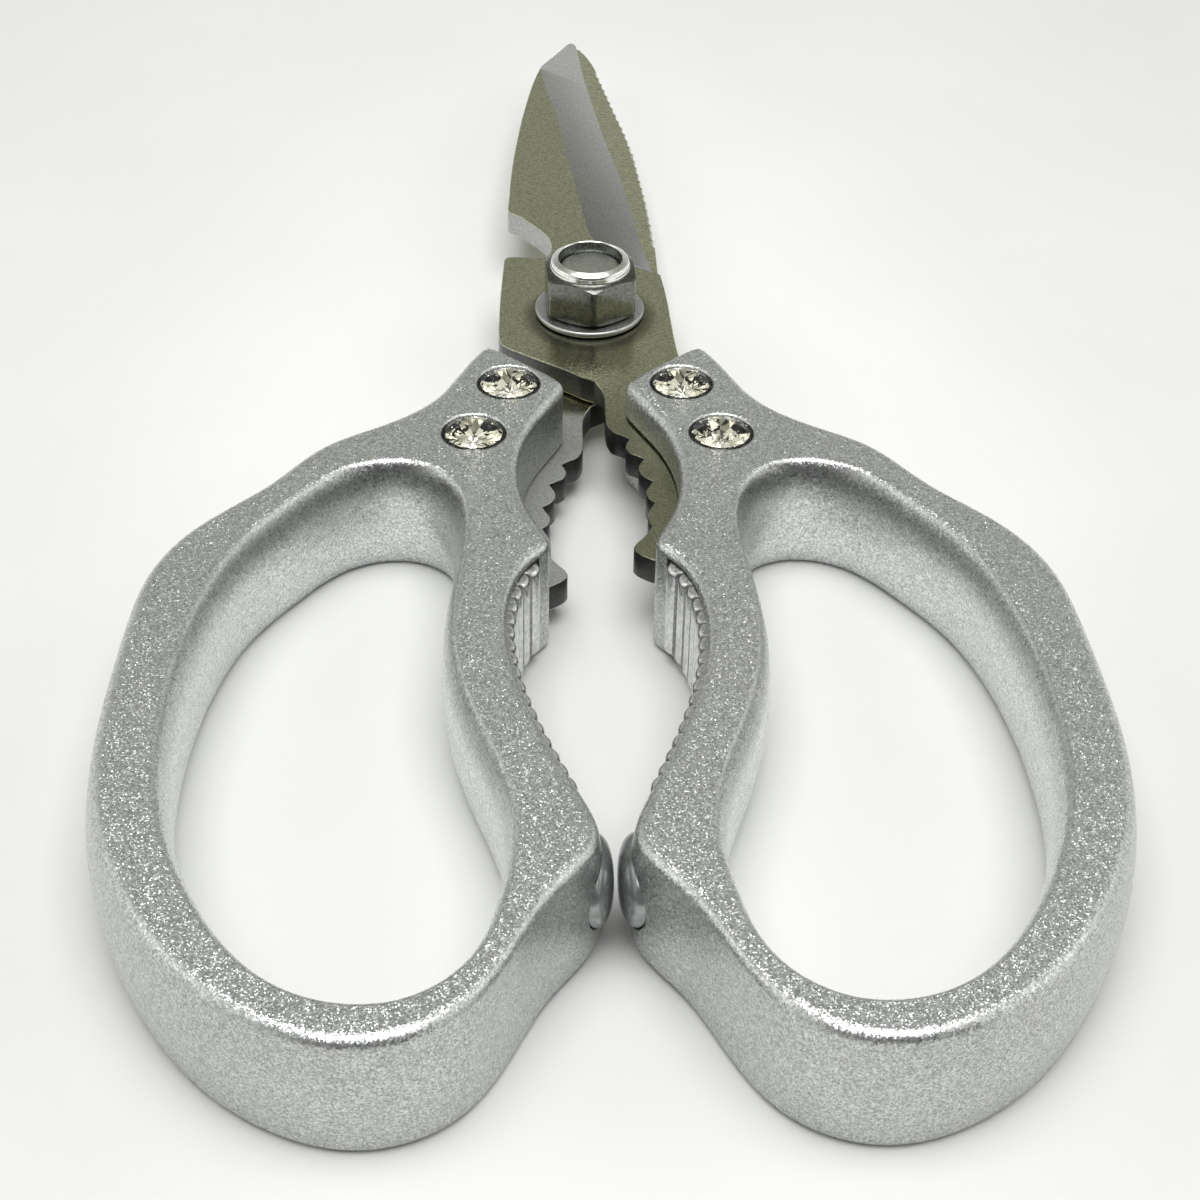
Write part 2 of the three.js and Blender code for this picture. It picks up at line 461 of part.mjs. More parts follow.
// ---- rivets and faceted caps --------------------------------------------------
function rivet(x, y) {
  const top = HANDLE_T - CBORE_D + 0.2;
  const g = lathe([[0, 0.15], [2.7, 0.15], [3.05, 0.45], [3.05, 1.1], [RIVET_R, 1.1], [RIVET_R, top], [2.55, top],
    [2.55, top + 0.25], [1.7, top + 0.42], [0, top + 0.45]], 28);
  g.translate(x, y, 0);
  return g;
}
function crystal(x, y) {
  const z = HANDLE_T - CBORE_D + 0.95;
  const pts = [];
  const ring = (n, r, h, turn) => {
    for (let i = 0; i < n; i += 1) {
      const a = (2 * Math.PI * (i + turn)) / n;
      pts.push(new THREE.Vector3(x + r * Math.cos(a), y + r * Math.sin(a), z + h));
    }
  };
  ring(8, 1.65, 2.9, 0);          // table
  ring(8, 2.38, 2.68, 0.5);       // crown
  ring(16, GEM_R, 2.26, 0);       // girdle
  ring(16, GEM_R, 2.1, 0);
  ring(8, 0.5, 0, 0.5);           // foiled back
  return BufferGeometryUtils.mergeVertices((() => {
    const g = new ConvexGeometry(pts); g.deleteAttribute('normal'); return g;
  })(), 1e-4);
}

// ---- assembly ----------------------------------------------------------------
const part = new THREE.Group();
part.name = 'kitchen_shears';
function addMesh(name, geometry, color, roughness, metalness) {
  const g = geometry.clone();
  if (!g.getIndex()) throw new Error(name);
  g.deleteAttribute('uv');
  g.translate(0, DATUM_Y, 0);
  g.computeVertexNormals();
  const mesh = new THREE.Mesh(g, new THREE.MeshStandardMaterial({ color, roughness, metalness }));
  mesh.name = name;
  part.add(mesh);
}
function clean(geometry) {
  return fromManifold(toManifold(outward(geometry)));
}
const CAST = 0x9a9c99, STEEL = 0x8d8c78, BRIGHT = 0xc9c9c6;
addMesh('right_handle', handleSolid(UP_Z - GAP, UP_Z + BLADE_T + GAP), CAST, 0.42, 0.85);
addMesh('left_handle', mirrored(handleSolid(LOW_Z - GAP, LOW_Z + BLADE_T + GAP)), CAST, 0.42, 0.85);
addMesh('upper_blade', upperBlade(), STEEL, 0.34, 1.0);
addMesh('lower_blade', lowerBlade(), STEEL, 0.34, 1.0);
addMesh('pivot_bolt', boltSolid(), BRIGHT, 0.25, 1.0);
addMesh('pivot_washer', clean(washer()), BRIGHT, 0.22, 1.0);
addMesh('lock_nut', nutSolid(), BRIGHT, 0.2, 1.0);
addMesh('lock_nut_insert', clean(insertRing()), 0xd8d6c8, 0.6, 0.0);
const insertGeometry = prism(insertLoop, RIB_Z0, RIB_Z1);
addMesh('right_jaw_insert', clean(insertGeometry), 0xa3a5a2, 0.35, 0.9);
addMesh('left_jaw_insert', mirrored(clean(insertGeometry)), 0xa3a5a2, 0.35, 0.9);
addMesh('right_stop_pad', clean(padSolid(0)), 0x6c706e, 0.3, 0.2);
addMesh('left_stop_pad', mirrored(clean(padSolid(0))), 0x6c706e, 0.3, 0.2);
RIVETS.forEach(([x, y], i) => {
  const place = ['front', 'rear'][i];
  addMesh(`right_${place}_rivet`, clean(rivet(x, y)), BRIGHT, 0.35, 1.0);
  addMesh(`left_${place}_rivet`, clean(rivet(-x, y)), BRIGHT, 0.35, 1.0);
  addMesh(`right_${place}_crystal`, clean(crystal(x, y)), 0xe9e4c8, 0.05, 0.1);
  addMesh(`left_${place}_crystal`, clean(crystal(-x, y)), 0xe9e4c8, 0.05, 0.1);
});

export default part;
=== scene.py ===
# Heavy-duty kitchen shears, closed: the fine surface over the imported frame.
import math

import bpy
import numpy as np
from mathutils import Matrix, Vector
from mathutils.geometry import tessellate_polygon


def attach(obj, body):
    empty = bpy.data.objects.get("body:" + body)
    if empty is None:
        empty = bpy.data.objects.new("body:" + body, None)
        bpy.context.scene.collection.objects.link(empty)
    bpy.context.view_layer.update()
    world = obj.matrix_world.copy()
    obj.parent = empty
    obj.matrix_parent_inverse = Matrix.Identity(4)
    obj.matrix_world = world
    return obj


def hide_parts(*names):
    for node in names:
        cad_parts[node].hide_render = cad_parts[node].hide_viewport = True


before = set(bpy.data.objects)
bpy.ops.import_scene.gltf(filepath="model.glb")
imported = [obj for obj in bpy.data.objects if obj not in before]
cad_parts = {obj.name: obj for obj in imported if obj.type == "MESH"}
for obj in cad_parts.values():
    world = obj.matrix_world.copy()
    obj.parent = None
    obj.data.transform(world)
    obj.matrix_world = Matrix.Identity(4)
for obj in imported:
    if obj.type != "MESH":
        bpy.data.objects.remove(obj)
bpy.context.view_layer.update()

# ---- dimensions, millimetres, measured from the datum of the outlines; PY puts the datum in the row frame ----
PY = 18.91
AXIS_Y = 0.8        # pivot axis from the datum
T = 13.0            # handle thickness
GAP = 0.3
BT = 3.0            # blade thickness
LOW_Z = 2.3
UP_Z = LOW_Z + BT + GAP
BULGE = 1.6
OUT_BULGE = 1.1
PAD_BULGE = 0.75    # swell of the wall that carries the stop pad
FIL = 1.0           # rounding of the handle edges
NECK_FIL = 1.5      # wider rounding beside the toothed tangs
RIVETS = [(9.25, -21.6), (12.86, -31.3)]

HANDLE = [
    (10.89, -14.25), (10.22, -14.64), (9.10, -15.53), (6.76, -17.45), (4.96, -19.05), (4.04, -20.03), 
    (3.57, -20.72), (3.41, -21.39), (3.52, -22.14), (3.94, -23.23), (5.10, -25.67), (6.33, -28.27), 
    (7.11, -30.38), (7.69, -32.56), (8.06, -34.80), (8.22, -37.06), (8.16, -39.31), (7.90, -41.51), 
    (7.40, -43.75), (6.58, -46.37), (5.65, -48.84), (5.30, -49.91), (5.24, -50.69), (5.44, -51.38), 
    (5.99, -52.14), (6.92, -53.32), (7.70, -54.62), (8.33, -56.10), (8.83, -57.87), (9.19, -60.00), 
    (9.37, -62.37), (9.34, -64.91), (9.09, -67.69), (8.58, -70.76), (7.85, -73.94), (6.95, -77.07), 
    (5.92, -80.17), (4.79, -83.24), (3.62, -86.29), (2.51, -89.15), (1.95, -90.92), (1.73, -92.22), 
    (1.75, -93.32), (2.00, -94.37), (2.53, -95.53), (3.52, -97.07), (5.11, -99.29), (6.23, -101.14), 
    (7.41, -103.61), (8.73, -106.59), (9.98, -109.12), (11.11, -110.97), (12.24, -112.44), (13.42, -113.63), 
    (14.71, -114.63), (16.12, -115.46), (17.61, -116.09), (19.13, -116.50), (20.62, -116.70), 
    (22.13, -116.67), (23.73, -116.42), (25.42, -115.93), (27.21, -115.18), (29.08, -114.16), 
    (30.92, -112.90), (32.71, -111.42), (34.44, -109.70), (36.13, -107.72), (37.77, -105.45), 
    (39.36, -102.87), (40.81, -100.10), (42.07, -97.25), (43.12, -94.35), (43.96, -91.40), (44.59, -88.44), 
    (45.02, -85.32), (45.26, -82.07), (45.34, -78.80), (45.29, -75.54), (45.16, -72.28), (44.99, -69.01), 
    (44.78, -65.75), (44.54, -62.50), (44.21, -59.29), (43.76, -56.65), (43.20, -54.46), (42.44, -52.42), 
    (41.48, -50.43), (40.33, -48.55), (38.96, -46.73), (37.00, -44.54), (34.78, -42.18), (33.08, -40.16), 
    (31.51, -37.91), (29.88, -35.52), (28.66, -34.02), (27.42, -32.84), (25.74, -31.59), (23.16, -29.95), 
    (21.03, -28.48), (19.39, -27.11), (18.03, -25.71), (16.92, -24.27), (16.00, -22.70), (15.00, -20.47), 
    (13.81, -17.64), (12.85, -15.63), (12.38, -14.80), (11.95, -14.32), (11.45, -14.12),
]
HOLE = [
    (12.19, -75.00), (11.07, -78.65), (9.89, -82.27), (8.86, -85.90), (8.17, -89.57), (8.03, -93.31), 
    (8.45, -97.13), (9.18, -100.93), (10.20, -104.59), (11.86, -107.95), (14.42, -110.76), (17.72, -112.57), 
    (21.44, -113.00), (25.12, -112.19), (28.34, -110.40), (31.07, -107.85), (33.38, -104.77), 
    (35.31, -101.38), (36.93, -97.90), (38.26, -94.37), (39.28, -90.77), (40.00, -87.08), (40.45, -83.31), 
    (40.65, -79.50), (40.65, -75.68), (40.49, -71.88), (40.16, -68.11), (39.66, -64.37), (38.98, -60.63), 
    (38.10, -56.93), (36.95, -53.31), (35.45, -49.86), (33.56, -46.63), (31.37, -43.49), (28.98, -40.38), 
    (26.20, -37.77), (22.80, -36.29), (19.12, -36.29), (15.96, -37.95), (13.91, -41.02), (13.07, -44.75), 
    (12.95, -48.63), (13.15, -52.47), (13.49, -56.26), (13.80, -60.03), (13.90, -63.79), (13.66, -67.55), 
    (13.07, -71.30),
]
SLOT = [
    (-3, -8), (10, -8), (10.62, -12), (11.33, -16), (12.52, -19.88), (14.3, -23.88), (15.93, -27.42), 
    (16.8, -31.05), (16.12, -34.42), (14, -36.3), (11.75, -38.22), (10.92, -41.08), (10.22, -44.62), 
    (9.08, -47.72), (7.15, -49.35), (5.6, -48.58), (4.4, -47.95), (3.3, -46.95), (-3, -46.95),
]
TANG_IN = [
    (0.2, -14.3, "c"), (0.8, -15.8), (1.15, -17.5), (1.2, -19.5), (1.2, -21.5), (1.35, -23.2), (1.9, -24.6), 
    (2.9, -25.3), (3.6, -25.9, "c"), (3.3, -26.7), (3.15, -27.6), (3.5, -28.6), (4.3, -29.2), 
    (5, -29.7, "c"), (4.6, -30.6), (4.35, -31.5), (4.5, -32.5), (5, -33.3), (5.75, -33.9, "c"), (5.4, -34.8), 
    (5, -35.7), (5, -36.5), (5.3, -37.3), (5.8, -37.8, "c"), (5.4, -38.8), (5.05, -39.8), (4.95, -40.8), 
    (5.1, -41.6), (5.3, -42.1, "c"), (4.9, -43.1), (4.3, -44.1), (3.6, -45.1), (3.3, -45.9), (3.6, -46.7), 
    (4.6, -47.6), (5.8, -48.3, "c"),
]
TANG_OUT = [
    (7, -49), (8.8, -47.5), (9.9, -44.5), (10.6, -41), (11.5, -38), (13.8, -36), (15.8, -34.2), (16.45, -31), 
    (15.6, -27.5), (14, -24), (12.2, -20), (11, -16), (10.3, -12),
]
UPPER_SPINE = [
    (-1.3, -13.4), (-2.6, -12.25), (-4.4, -10.9), (-6.4, -9.45), (-7.8, -8.4), (-9.2, -7.4), (-10.1, -6.3), 
    (-10.4, -4.6), (-10.4, -1), (-10.3, 3.6), (-10.1, 8.2), (-9.85, 12.9, "c"), (-9.5, 13.55), (-8.7, 13.7), 
    (-6.9, 13.55), (-5.2, 13.5), (-4.55, 14.2), (-4.2, 15.6), (-4.25, 17.2), (-4.7, 18.9), (-5.5, 20.4), 
    (-6.5, 21.9), (-7.7, 23.5), (-8.6, 24.4), (-9.2, 24.8, "c"), (-9.4, 25.4), (-9.3, 28.2), (-9.1, 33.6), 
    (-8.75, 39.1), (-8.25, 44.7), (-7.65, 50.5), (-6.9, 56.3), (-6.1, 61.5), (-5.1, 66.2), (-3.85, 70.3), 
    (-2.6, 74), (-1.6, 77), (-1, 78.7), (-0.5, 79.4, "c"),
]
UPPER_EDGE = [
    (0, 79), (0.4, 74.8), (0.7, 70.5), (1.05, 67), (1.45, 63.6), (1.85, 60.2), (2.3, 56.6), (2.75, 53), 
    (3.2, 50), (4.05, 44.3), (5, 38.2), (5.75, 32), (6.45, 25), (7, 20.5), (7.6, 16.5), (8.2, 12.6), 
    (8.7, 8.3), (9.1, 3.6), (9.3, -1), (9.5, -5.4), (9.8, -9),
]
BEVEL_TOP = [
    (-6.9, 80.5), (-6.3, 75), (-5.6, 69.8), (-5.1, 65.8), (-4.4, 59.6), (-3.4, 53.5), (-2.6, 46.2), 
    (-1.8, 39.1), (-1, 32), (-0.2, 24.6), (0.6, 19), (2.6, 14.6), (5.6, 11.2), (9.3, 9),
]
BEVEL_EDGE = [
    (0.1, 80.5), (0.4, 75), (0.75, 69.8), (1.15, 65.8), (1.9, 59.6), (2.7, 53.5), (3.75, 46.2), (4.85, 39.1), 
    (5.75, 32), (6.5, 24.6), (7.2, 19), (7.9, 14.6), (8.4, 11.2), (9.4, 8.9),
]
LOWER_SPINE = [
    (0.5, 79.3), (1.3, 77.4), (2.2, 74.5), (3.2, 69.8), (4.2, 64.2), (5.15, 58.6), (6.05, 53.6), 
    (6.75, 48.6), (7.25, 44), (7.65, 39.5), (8, 35.5), (8.25, 31.5), (8.45, 27.5), (8.6, 23), (8.65, 19), 
    (8.7, 14), (8.9, 8), (9, 2), (9.1, -3), (8.9, -6.2), (7.8, -8), (6.2, -9.5), (4.4, -10.9), (2.6, -12.25), 
    (1.2, -13.3),
]
LOWER_EDGE = [
    (-9.7, -9), (-9.6, -4), (-9.6, 2), (-9.3, 7), (-8.4, 10.4), (-6.4, 12.2), (-4.4, 13), (-3.6, 14.2), 
    (-3.5, 18), (-3.6, 24), (-3.5, 31), (-3.2, 39), (-2.7, 47), (-2.1, 55), (-1.5, 63), (-0.9, 70), 
    (-0.3, 76), (0.05, 79.2),
]
LOWER_GRIND = [
    (1.4, 14.2), (2, 18), (2.3, 24), (2.6, 31), (2.9, 39), (3, 47), (2.9, 55), (2.6, 63), (2.2, 70), 
    (1.6, 76), (1.3, 80.6),
]
LOWER_GRIND_EDGE = [
    (-3.6, 14.2), (-3.55, 18), (-3.65, 24), (-3.55, 31), (-3.25, 39), (-2.75, 47), (-2.15, 55), (-1.55, 63), 
    (-0.95, 70), (-0.35, 76), (0, 80.6),
]



# ---- curves ------------------------------------------------------------------
def crom(pts, closed, per=10):
    """Centripetal Catmull-Rom curve through pts."""
    P = np.asarray(pts, float)
    n = len(P)
    if closed:
        E = np.vstack([P[-1:], P, P[:2]])
        segs = n
    else:
        E = np.vstack([2 * P[0] - P[1], P, 2 * P[-1] - P[-2]])
        segs = n - 1
    out = []
    for i in range(segs):
        p0, p1, p2, p3 = E[i], E[i + 1], E[i + 2], E[i + 3]
        t0 = 0.0
        t1 = t0 + max(1e-6, np.linalg.norm(p1 - p0)) ** 0.5
        t2 = t1 + max(1e-6, np.linalg.norm(p2 - p1)) ** 0.5
        t3 = t2 + max(1e-6, np.linalg.norm(p3 - p2)) ** 0.5
        for k in range(per):
            t = t1 + (t2 - t1) * k / per
            a1 = (t1 - t) / (t1 - t0) * p0 + (t - t0) / (t1 - t0) * p1
            a2 = (t2 - t) / (t2 - t1) * p1 + (t - t1) / (t2 - t1) * p2
            a3 = (t3 - t) / (t3 - t2) * p2 + (t - t2) / (t3 - t2) * p3
            b1 = (t2 - t) / (t2 - t0) * a1 + (t - t0) / (t2 - t0) * a2
            b2 = (t3 - t) / (t3 - t1) * a2 + (t - t1) / (t3 - t1) * a3
            out.append((t2 - t) / (t2 - t1) * b1 + (t - t1) / (t2 - t1) * b2)
    if not closed:
        out.append(P[-1])
    return np.array(out)


def resample(poly, n, closed):
    P = np.asarray(poly, float)
    if closed:
        P = np.vstack([P, P[:1]])
    d = np.r_[0, np.cumsum(np.hypot(*(P[1:] - P[:-1]).T))]
    u = np.linspace(0, d[-1], n + 1)[:-1] if closed else np.linspace(0, d[-1], n)
    return np.stack([np.interp(u, d, P[:, k]) for k in range(P.shape[1])], 1)


def length(poly):
    P = np.asarray(poly, float)
    return float(np.hypot(*(P[1:] - P[:-1]).T).sum())


def cornered(pts, step):
    """Open path that is smooth between the points marked 'c', which stay sharp."""
    out = []
    run = []
    for p in pts:
        run.append((p[0], p[1]))
        if len(p) > 2 and len(run) > 1:
            out.append(run)
            run = [(p[0], p[1])]
    if len(run) > 1:
        out.append(run)
    path = []
    for r in out:
        c = crom(r, False, 8) if len(r) > 2 else np.array(r, float)
        c = resample(c, max(2, int(round(length(c) / step)) + 1), False)
        path.append(c[:-1])
    path.append(np.array([out[-1][-1]], float))
    return np.vstack(path)


def area(P):
    P = np.asarray(P)
    return 0.5 * float(np.sum(P[:, 0] * np.roll(P[:, 1], -1) - np.roll(P[:, 0], -1) * P[:, 1]))


def ccw(P):
    P = np.asarray(P, float)
    return P if area(P) > 0 else P[::-1].copy()


def dedupe(P, eps=0.02):
    P = np.asarray(P, float)
    keep = [P[0]]
    for p in P[1:]:
        if np.hypot(*(p - keep[-1])) > eps:
            keep.append(p)
    if np.hypot(*(keep[0] - keep[-1])) <= eps:
        keep.pop()
    return np.array(keep)


def inset(P, d):
    """Every point of a counter-clockwise loop moved inwards by d, mitred but never by more than 1.6 d."""
    P = np.asarray(P, float)
    a, b = np.roll(P, 1, 0), np.roll(P, -1, 0)
    t1 = P - a
    t2 = b - P
    t1 /= np.maximum(np.hypot(*t1.T), 1e-9)[:, None]
    t2 /= np.maximum(np.hypot(*t2.T), 1e-9)[:, None]
    n1 = np.stack([-t1[:, 1], t1[:, 0]], 1)
    n2 = np.stack([-t2[:, 1], t2[:, 0]], 1)
    m = n1 + n2
    m /= np.maximum(np.hypot(*m.T), 1e-9)[:, None]
    c = np.maximum((m * n1).sum(1), 1 / 1.6)
    return P + m * (np.asarray(d, float) / c)[:, None]


# ---- meshes in millimetres ---------------------------------------------------
def stack(levels, holes=None):
    """Loops of equal count stacked from the bottom up, with an optional stack of hole loops; caps at both ends."""
    V, F = [], []

    def push(ls):
        starts = []
        for P, z in ls:
            starts.append(len(V))
            zz = np.broadcast_to(np.asarray(z, float), (len(P),))
            V.extend((float(x), float(y), float(q)) for (x, y), q in zip(P, zz))
        return starts

    def sides(starts, n, flip):
        for k in range(len(starts) - 1):
            for i in range(n):
                j = (i + 1) % n
                q = (starts[k] + i, starts[k] + j, starts[k + 1] + j, starts[k + 1] + i)
                F.append(q[::-1] if flip else q)

    n = len(levels[0][0])
    s = push(levels)
    sides(s, n, False)
    h, m = None, 0
    if holes:
        m = len(holes[0][0])
        h = push(holes)
        sides(h, m, True)
    for top in (False, True):
        so = s[-1] if top else s[0]
        if not holes:
            face = tuple(range(so, so + n))
            F.append(face if top else face[::-1])
            continue
        ho = h[-1] if top else h[0]
        loops = [[Vector(V[so + i]) for i in range(n)], [Vector(V[ho + i]) for i in range(m)]]
        at = lambda i: so + i if i < n else ho + i - n
        for a, b, c in tessellate_polygon(loops):
            A, B, C = (Vector(V[at(i)]) for i in (a, b, c))
            up = (B - A).cross(C - A).z
            if abs(up) < 1e-9:
                continue
            f = (at(a), at(b), at(c))
            F.append(f if (up > 0) == top else f[::-1])
    return V, F


def prism(P, z0, z1):
    P = ccw(P)
    return stack([(P, z0), (P, z1)])


def lathe(profile, n, cx=0.0, cy=0.0, turn=0.0):
    """A closed (r, z) profile turned about +Z. Points with r = 0 are on the axis."""
    prof = [tuple(p) for p in profile]
    if prof[0] == prof[-1]:
        prof = prof[:-1]
    V, rings = [], []
    for r, z in prof:
        if r < 1e-9:
            rings.append([len(V)] * n)
            V.append((cx, cy, z))
        else:
            s = len(V)
            for i in range(n):
                a = 2 * math.pi * (i + turn) / n
                V.append((cx + r * math.cos(a), cy + r * math.sin(a), z))
            rings.append(list(range(s, s + n)))
    F = []
    m = len(prof)
    for k in range(m):
        A, B = rings[k], rings[(k + 1) % m]
        if A[0] == A[1] and B[0] == B[1]:
            continue
        for i in range(n):
            j = (i + 1) % n
            f = []
            for v in (A[i], A[j], B[j], B[i]):
                if v not in f:
                    f.append(v)
            F.append(tuple(f))
    return fix_out(V, F)


def volume(V, F):
    A = np.array(V, float)
    v = 0.0
    for f in F:
        for k in range(1, len(f) - 1):
            v += float(np.dot(A[f[0]], np.cross(A[f[k]], A[f[k + 1]])))
    return v


def fix_out(V, F):
    return (V, [f[::-1] for f in F]) if volume(V, F) < 0 else (V, F)


def mirror(vf):
    V, F = vf
    return [(-x, y, z) for x, y, z in V], [f[::-1] for f in F]


def obj_from(name, vf, where=(0, 0, 0)):
    V, F = vf
    me = bpy.data.meshes.new(name)
    me.from_pydata([(x + where[0], y + where[1], z + where[2]) for x, y, z in V], [], F)
    me.update()
    ob = bpy.data.objects.new(name, me)
    bpy.context.scene.collection.objects.link(ob)
    return ob


def boolean(ob, tools, op="DIFFERENCE"):
    """Applies each tool to ob's mesh and throws the tools away."""
    for vf in tools:
        t = obj_from("tool", vf)
        m = ob.modifiers.new("b", "BOOLEAN")
        m.operation = op
        m.solver = "MANIFOLD"
        m.object = t
        bpy.context.view_layer.update()
        dg = bpy.context.evaluated_depsgraph_get()
        new = bpy.data.meshes.new_from_object(ob.evaluated_get(dg))
        old = ob.data
        before = len(old.polygons)
        ob.modifiers.clear()
        ob.data = new
        bpy.data.meshes.remove(old)
        tm = t.data
        bpy.data.objects.remove(t)
        bpy.data.meshes.remove(tm)
        if len(new.polygons) == 0:
            raise RuntimeError("a cut left nothing of " + ob.name)
        if len(new.polygons) == before:
            print("NOTE: a cut changed nothing on", ob.name)
    return ob


def shade(ob, angle=38.0, flat_normals=((0, 0, 1), (0, 0, -1)), flat_area=None):
    """Smooth normals within the angle, while faces in the flat directions keep their own normal and lend it to the
    faces that run into them."""
    me = ob.data
    me.polygons.foreach_set("use_smooth", [True] * len(me.polygons))
    nf, nl = len(me.polygons), len(me.loops)
    fn = np.empty(nf * 3, np.float32)
    me.polygons.foreach_get("normal", fn)
    fn = fn.reshape(-1, 3).astype(float)
    ar = np.empty(nf, np.float32)
    me.polygons.foreach_get("area", ar)
    tot = np.empty(nf, np.int32)
    me.polygons.foreach_get("loop_total", tot)
    lv = np.empty(nl, np.int32)
    me.loops.foreach_get("vertex_index", lv)
    lf = np.repeat(np.arange(nf), tot)
    flat = np.zeros(nf, bool)
    for d in flat_normals:
        flat |= fn @ np.array(d, float) > 0.99995
    if flat_area:
        flat |= ar > flat_area
    # corner angles as weights
    co = np.empty(len(me.vertices) * 3, np.float32)
    me.vertices.foreach_get("co", co)
    co = co.reshape(-1, 3).astype(float)
    start = np.empty(nf, np.int32)
    me.polygons.foreach_get("loop_start", start)
    idx = np.arange(nl)
    ls = start[lf]
    lt = tot[lf]
    prv = lv[ls + (idx - ls - 1) % lt]
    nxt = lv[ls + (idx - ls + 1) % lt]
    u = co[prv] - co[lv]
    w = co[nxt] - co[lv]
    u /= np.maximum(np.linalg.norm(u, axis=1), 1e-12)[:, None]
    w /= np.maximum(np.linalg.norm(w, axis=1), 1e-12)[:, None]
    wt = np.arccos(np.clip((u * w).sum(1), -1, 1)) + 1e-6
    order = np.argsort(lv, kind="stable")
    sv = lv[order]
    cuts = np.flatnonzero(np.diff(sv)) + 1
    groups = np.split(order, cuts)
    sizes = np.array([len(g) for g in groups])
    out = np.zeros((nl, 3))
    cosa = math.cos(math.radians(angle))
    for k in np.unique(sizes):
        G = np.array([g for g, s in zip(groups, sizes) if s == k])
        N = fn[lf[G]]
        W = wt[G]
        FL = flat[lf[G]]
        D = np.einsum("mik,mjk->mij", N, N)
        M = D > cosa
        acc = np.einsum("mij,mj,mjk->mik", M.astype(float), W, N)
        # a flat neighbour within the angle lends its normal
        score = np.where(M & FL[:, None, :], D, -2.0)
        best = score.argmax(2)
        has = score.max(2) > -1.5
        mi = np.arange(len(G))[:, None]
        lend = N[mi, best]
        acc = np.where(has[..., None], lend, acc)
        acc = np.where(FL[..., None], N, acc)
        out[G] = acc
    out /= np.maximum(np.linalg.norm(out, axis=1), 1e-12)[:, None]
    me.normals_split_custom_set([tuple(map(float, v)) for v in out])
    return ob


def place(ob, body, mat, replaces=()):
    """Millimetres about the pivot to metres in the row frame, then rides on its body."""
    ob.data.transform(Matrix.Scale(0.001, 4) @ Matrix.Translation((0, PY, 0)))
    ob.data.materials.clear()
    for m in mat if isinstance(mat, (list, tuple)) else [mat]:
        ob.data.materials.append(m)
    ob.data.update()
    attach(ob, body)
    if replaces:
        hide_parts(*replaces)
    return ob


def weld(ob, dist=1e-4):
    import bmesh

    bm = bmesh.new()
    bm.from_mesh(ob.data)
    bmesh.ops.remove_doubles(bm, verts=bm.verts, dist=dist)
    bmesh.ops.dissolve_degenerate(bm, edges=bm.edges, dist=dist)
    bm.to_mesh(ob.data)
    bm.free()
    return ob


# ---- materials ---------------------------------------------------------------
def mat(name):
    m = bpy.data.materials.new(name)
    m.use_nodes = True
    nt = m.node_tree
    nt.nodes.clear()
    out = nt.nodes.new("ShaderNodeOutputMaterial")
    b = nt.nodes.new("ShaderNodeBsdfPrincipled")
    nt.links.new(b.outputs[0], out.inputs[0])
    return m, nt, b


def node(nt, kind, **props):
    n = nt.nodes.new(kind)
    for k, v in props.items():
        if k.startswith("i_"):
            key = k[2:]
            key = int(key) if key.isdigit() else key.replace("_", " ")
            n.inputs[key].default_value = v
        else:
            setattr(n, k, v)
    return n


def coords(nt, scale=(1, 1, 1), rot=(0, 0, 0)):
    t = node(nt, "ShaderNodeTexCoord")
    m = node(nt, "ShaderNodeMapping")
    m.inputs["Scale"].default_value = scale
    m.inputs["Rotation"].default_value = rot
    nt.links.new(t.outputs["Object"], m.inputs["Vector"])
    return m.outputs["Vector"]


def ramp(nt, fac, stops):
    r = node(nt, "ShaderNodeValToRGB")
    e = r.color_ramp.elements
    while len(e) < len(stops):
        e.new(0.5)
    for el, (p, c) in zip(e, stops):
        el.position = p
        el.color = (c[0], c[1], c[2], 1) if isinstance(c, (tuple, list)) else (c, c, c, 1)
    nt.links.new(fac, r.inputs["Fac"])
    return r.outputs["Color"]


def math_node(nt, op, a, b=None, c=None):
    n = node(nt, "ShaderNodeMath", operation=op)
    for i, v in enumerate((a, b, c)):
        if v is None:
            continue
        if isinstance(v, (int, float)):
            n.inputs[i].default_value = v
        else:
            nt.links.new(v, n.inputs[i])
    return n.outputs[0]


def vmath(nt, op, a, b=None, scale=None):
    n = node(nt, "ShaderNodeVectorMath", operation=op)
    for i, v in enumerate((a, b)):
        if v is None:
            continue
        if isinstance(v, (tuple, list)):
            n.inputs[i].default_value = v
        else:
            nt.links.new(v, n.inputs[i])
    if scale is not None:
        if isinstance(scale, (int, float)):
            n.inputs["Scale"].default_value = scale
        else:
            nt.links.new(scale, n.inputs["Scale"])
    return n.outputs[0]


